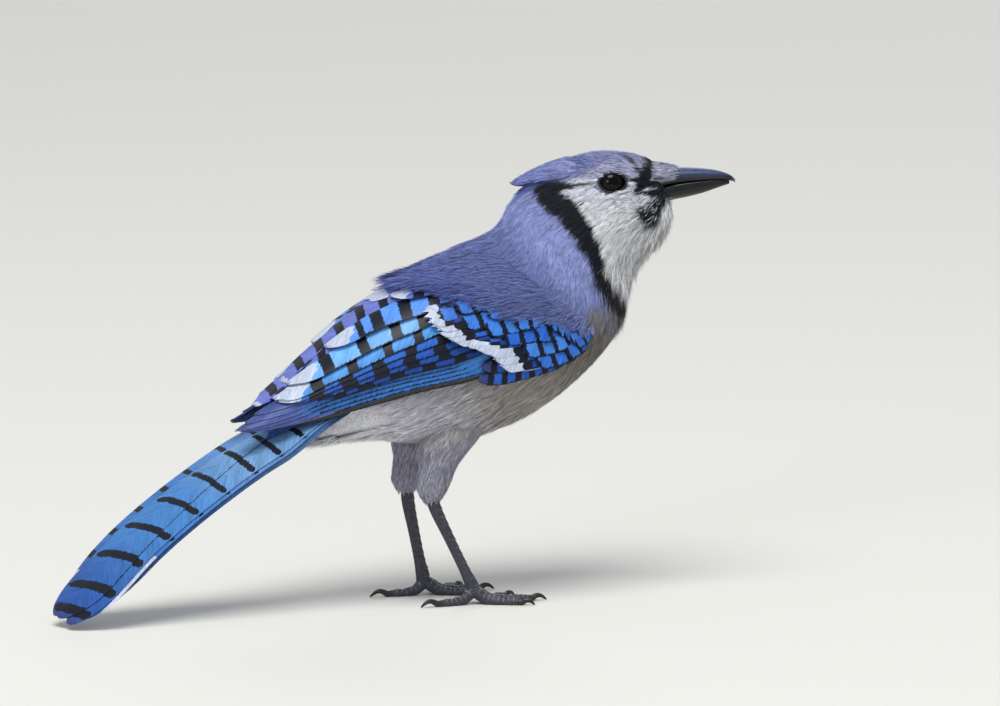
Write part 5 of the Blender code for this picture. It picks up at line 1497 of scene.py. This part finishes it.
def build_eyes():
    """Each eye is a ball whose front has a dark iris round a black pupil. The lids are a ring of skin that
    runs from the opening over the ball into the cheek, with a beaded rim."""
    top = np.linspace(0, 1, 12)
    share = np.concatenate([top, top[::-1]])
    lids = lid_rings(share, np.where(np.arange(len(share)) < len(top), 0.0, LID_THICK))
    edge = lids[0]
    tube = np.linspace(0, 2 * math.pi, 10, endpoint=False)
    forward = unit(np.roll(edge, -1, 0) - np.roll(edge, 1, 0))
    outward = unit(edge - EYE_CENTRE)
    across = unit(np.cross(forward, outward))
    beads = np.sin(np.arange(len(edge)) / len(edge) * 2 * math.pi * RIM_BEADS)
    radius = RIM_RADIUS * (1 + 0.22 * beads)
    circle = outward[:, None] * np.sin(tube)[None, :, None] + across[:, None] * np.cos(tube)[None, :, None]
    rim = edge[:, None] + circle * radius[:, None, None]
    lid_tint = mixed(linear("#15161d"), linear("#666a82"), smoothstep((share - 0.14) / 0.3))
    lid_tint = np.repeat(lid_tint, len(edge), 0)
    for side, label in SIDES:
        flip = np.array([1, side, 1])
        polar, around = np.meshgrid(np.linspace(0.0, math.pi, 52),
                                    np.linspace(0, 2 * math.pi, 84, endpoint=False), indexing="ij")
        ring = np.stack([np.sin(polar) * np.cos(around), np.cos(polar), np.sin(polar) * np.sin(around)], -1)
        points, faces = closed_tube((EYE_CENTRE + ring * EYE_RADIUS) * flip, flip=side == RIGHT)
        at = np.arccos(np.clip(unit(points * flip - EYE_CENTRE) @ EYE_AXIS, -1, 1))
        pupil, iris, limbus = linear("#010101"), linear("#120b08"), linear("#060505")
        tint = mixed(pupil, iris, smoothstep((at - PUPIL_EDGE) / 0.05))
        tint = mixed(tint, limbus, smoothstep((at - IRIS_EDGE) / 0.12))
        eye = mesh_piece(f"eyeball_{label}", points, faces, EYE, colour=tint)
        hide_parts(f"eye_{label}")

        parts = []
        for rings, turned in ((lids, side == RIGHT), (rim, side == LEFT)):
            points = (rings * flip).reshape(-1, 3)
            wrapped = grid_faces(len(rings) + 1, rings.shape[1], wrap=True, flip=turned) % len(points)
            parts.append((points, [wrapped]))
        points, faces = joined(parts)
        shades = np.concatenate([lid_tint, np.broadcast_to(linear("#0f1016"), (rim.size // 3, 3))])
        mesh_piece(f"eyelid_{label}", points, faces, SCALES, colour=shades)


CLAW_THICK, CLAW_POINT = 1.0, 0.16
# Each toe's heading in degrees, its length and its claw's.
TOES = (("hind", 176, 11.5, 8.5), ("inner", -26, 14.5, 6.5), ("middle", 4, 19, 7), ("outer", 30, 15, 6))
# A toe's rows of (share of its length, radius, height of its middle).
TOE_ROWS = np.array([
    (0, 2.1, 4.6), (0.12, 2, 3.4), (0.3, 1.7, 1.7), (0.55, 1.6, 1.05), (0.62, 1.35, 0.9), (0.8, 1.5, 1.0),
    (1, 1.15, 1.0),
])
TOE_SIDES, CLAW_SIDES = 24, 20
# The lengths of the horn plates on shank and toes, and the height of the ankle.
SHANK_PLATE, TOE_PLATE, ANKLE = 2.6, 1.7, 34.9
LEG_GREY, LEG_PALE = linear("#3b3c44"), linear("#70727d")


def swept(line, radii, sides):
    """Rings round a path: each point of it gets a circle of its radius, or of its row of radii, square to
    the path, held above the floor."""
    forward = unit(np.gradient(line, axis=0))
    aside = unit(np.cross(forward, [0, 0, 1.0]) + 1e-6)
    above = np.cross(aside, forward)
    psi = np.linspace(0, 2 * math.pi, sides, endpoint=False)
    circle = aside[:, None] * np.cos(psi)[None, :, None] + above[:, None] * np.sin(psi)[None, :, None]
    rings = line[:, None] + circle * np.reshape(radii, (len(line), -1, 1))
    rings[..., 2] = np.maximum(rings[..., 2], 0.0)
    return rings


def build_leg(side, label):
    """A scaled shank and foot: plates overlap down the front and along each toe, and pads lie under it."""
    back = LEFT_FOOT_BACK if side == LEFT else 0.0
    share = np.linspace(0, len(SHANK) - 1, 150)
    x, z, depth, width = np.moveaxis(catmull_rom(np.array(SHANK, float), share), -1, 0)
    x = x - back * (ANKLE - z) / 27.5 if back else x
    psi = np.linspace(0, 2 * math.pi, 28, endpoint=False)[None]
    # Each plate swells towards its lower edge.
    tooth = (((ANKLE - z) / SHANK_PLATE) % 1.0)[:, None]
    front = np.clip(np.cos(psi), 0, 1) ** 0.5
    scale = 0.22 * tooth**2 * front
    rings = np.stack([x[:, None] + (depth[:, None] + scale) * np.cos(psi),
                      side * (LEG_Y + (width[:, None] + scale) * np.sin(psi)), z[:, None] + 0 * psi], -1)
    points, faces = closed_tube(rings, flip=side == LEFT)
    shade = mixed(LEG_GREY, LEG_PALE, smoothstep((tooth + 0 * psi - 0.8) / 0.2) * front)
    tint = np.concatenate([shade.reshape(-1, 3), [LEG_GREY, LEG_GREY]])
    shank = mesh_piece(f"scaled_shank_{label}", points, faces, SCALES, colour=tint)
    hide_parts(f"shank_{label}")

    joint = np.array([-3.4 - back, side * LEG_Y, 0.0])
    toe_parts, toe_tints = [], []
    psi = np.linspace(0, 2 * math.pi, TOE_SIDES, endpoint=False)
    upper = np.clip(np.sin(psi), 0, 1)[None] ** 0.5
    for name, heading, length, claw in TOES:
        aim = math.radians(heading)
        ahead = np.array([math.cos(aim), side * math.sin(aim), 0.0])
        along = np.linspace(0, len(TOE_ROWS) - 1, 90)
        part, radius, height = np.moveaxis(catmull_rom(TOE_ROWS, along), -1, 0)
        line = joint + ahead * (part * length)[:, None]
        line[:, 2] = height
        tooth = ((part * length / TOE_PLATE) % 1.0)[:, None]
        radii = radius[:, None] + 0.16 * tooth**2 * upper - 0.05
        toe_parts.append(closed_tube(swept(line, radii, TOE_SIDES), flip=True))
        shade = mixed(LEG_GREY, LEG_PALE, smoothstep((tooth - 0.75) / 0.2) * upper)
        toe_tints.append(np.concatenate([shade.reshape(-1, 3), [LEG_GREY, LEG_GREY]]))

        bend = np.linspace(0, 1, 40)
        arch = 0.15 * np.sin(math.pi * np.clip(bend * 1.25 - 0.25, 0, 1))
        nail = line[-1] + ahead * (0.1 + claw * 0.88 * bend)[:, None]
        nail[:, 2] = height[-1] + claw * arch - 0.75 * bend**2
        thick = CLAW_THICK * (1 - bend) ** 0.6 + CLAW_POINT
        points, faces = closed_tube(swept(nail, thick, CLAW_SIDES), flip=True)
        share = np.concatenate([np.repeat(bend, CLAW_SIDES), [0, 1]])
        tint = mixed(linear("#2b2a2c"), linear("#151416"), share)
        piece = mesh_piece(f"claw_sheath_{label}_{name}", points, faces, CLAW_HORN, colour=tint)
        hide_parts(f"claw_{label}_{name}")
    points, faces = joined(toe_parts)
    foot = mesh_piece(f"scaled_foot_{label}", points, faces, SCALES,
                      colour=np.concatenate(toe_tints))
    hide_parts(f"foot_{label}")


build_camera_and_light()
build_skin()
build_coat()
build_tail()
build_bill()
build_eyes()
for side, label in SIDES:
    build_thigh_coat(side, label)
    build_wing(side, label)
    build_wing_coat(side, label)
    build_leg(side, label)
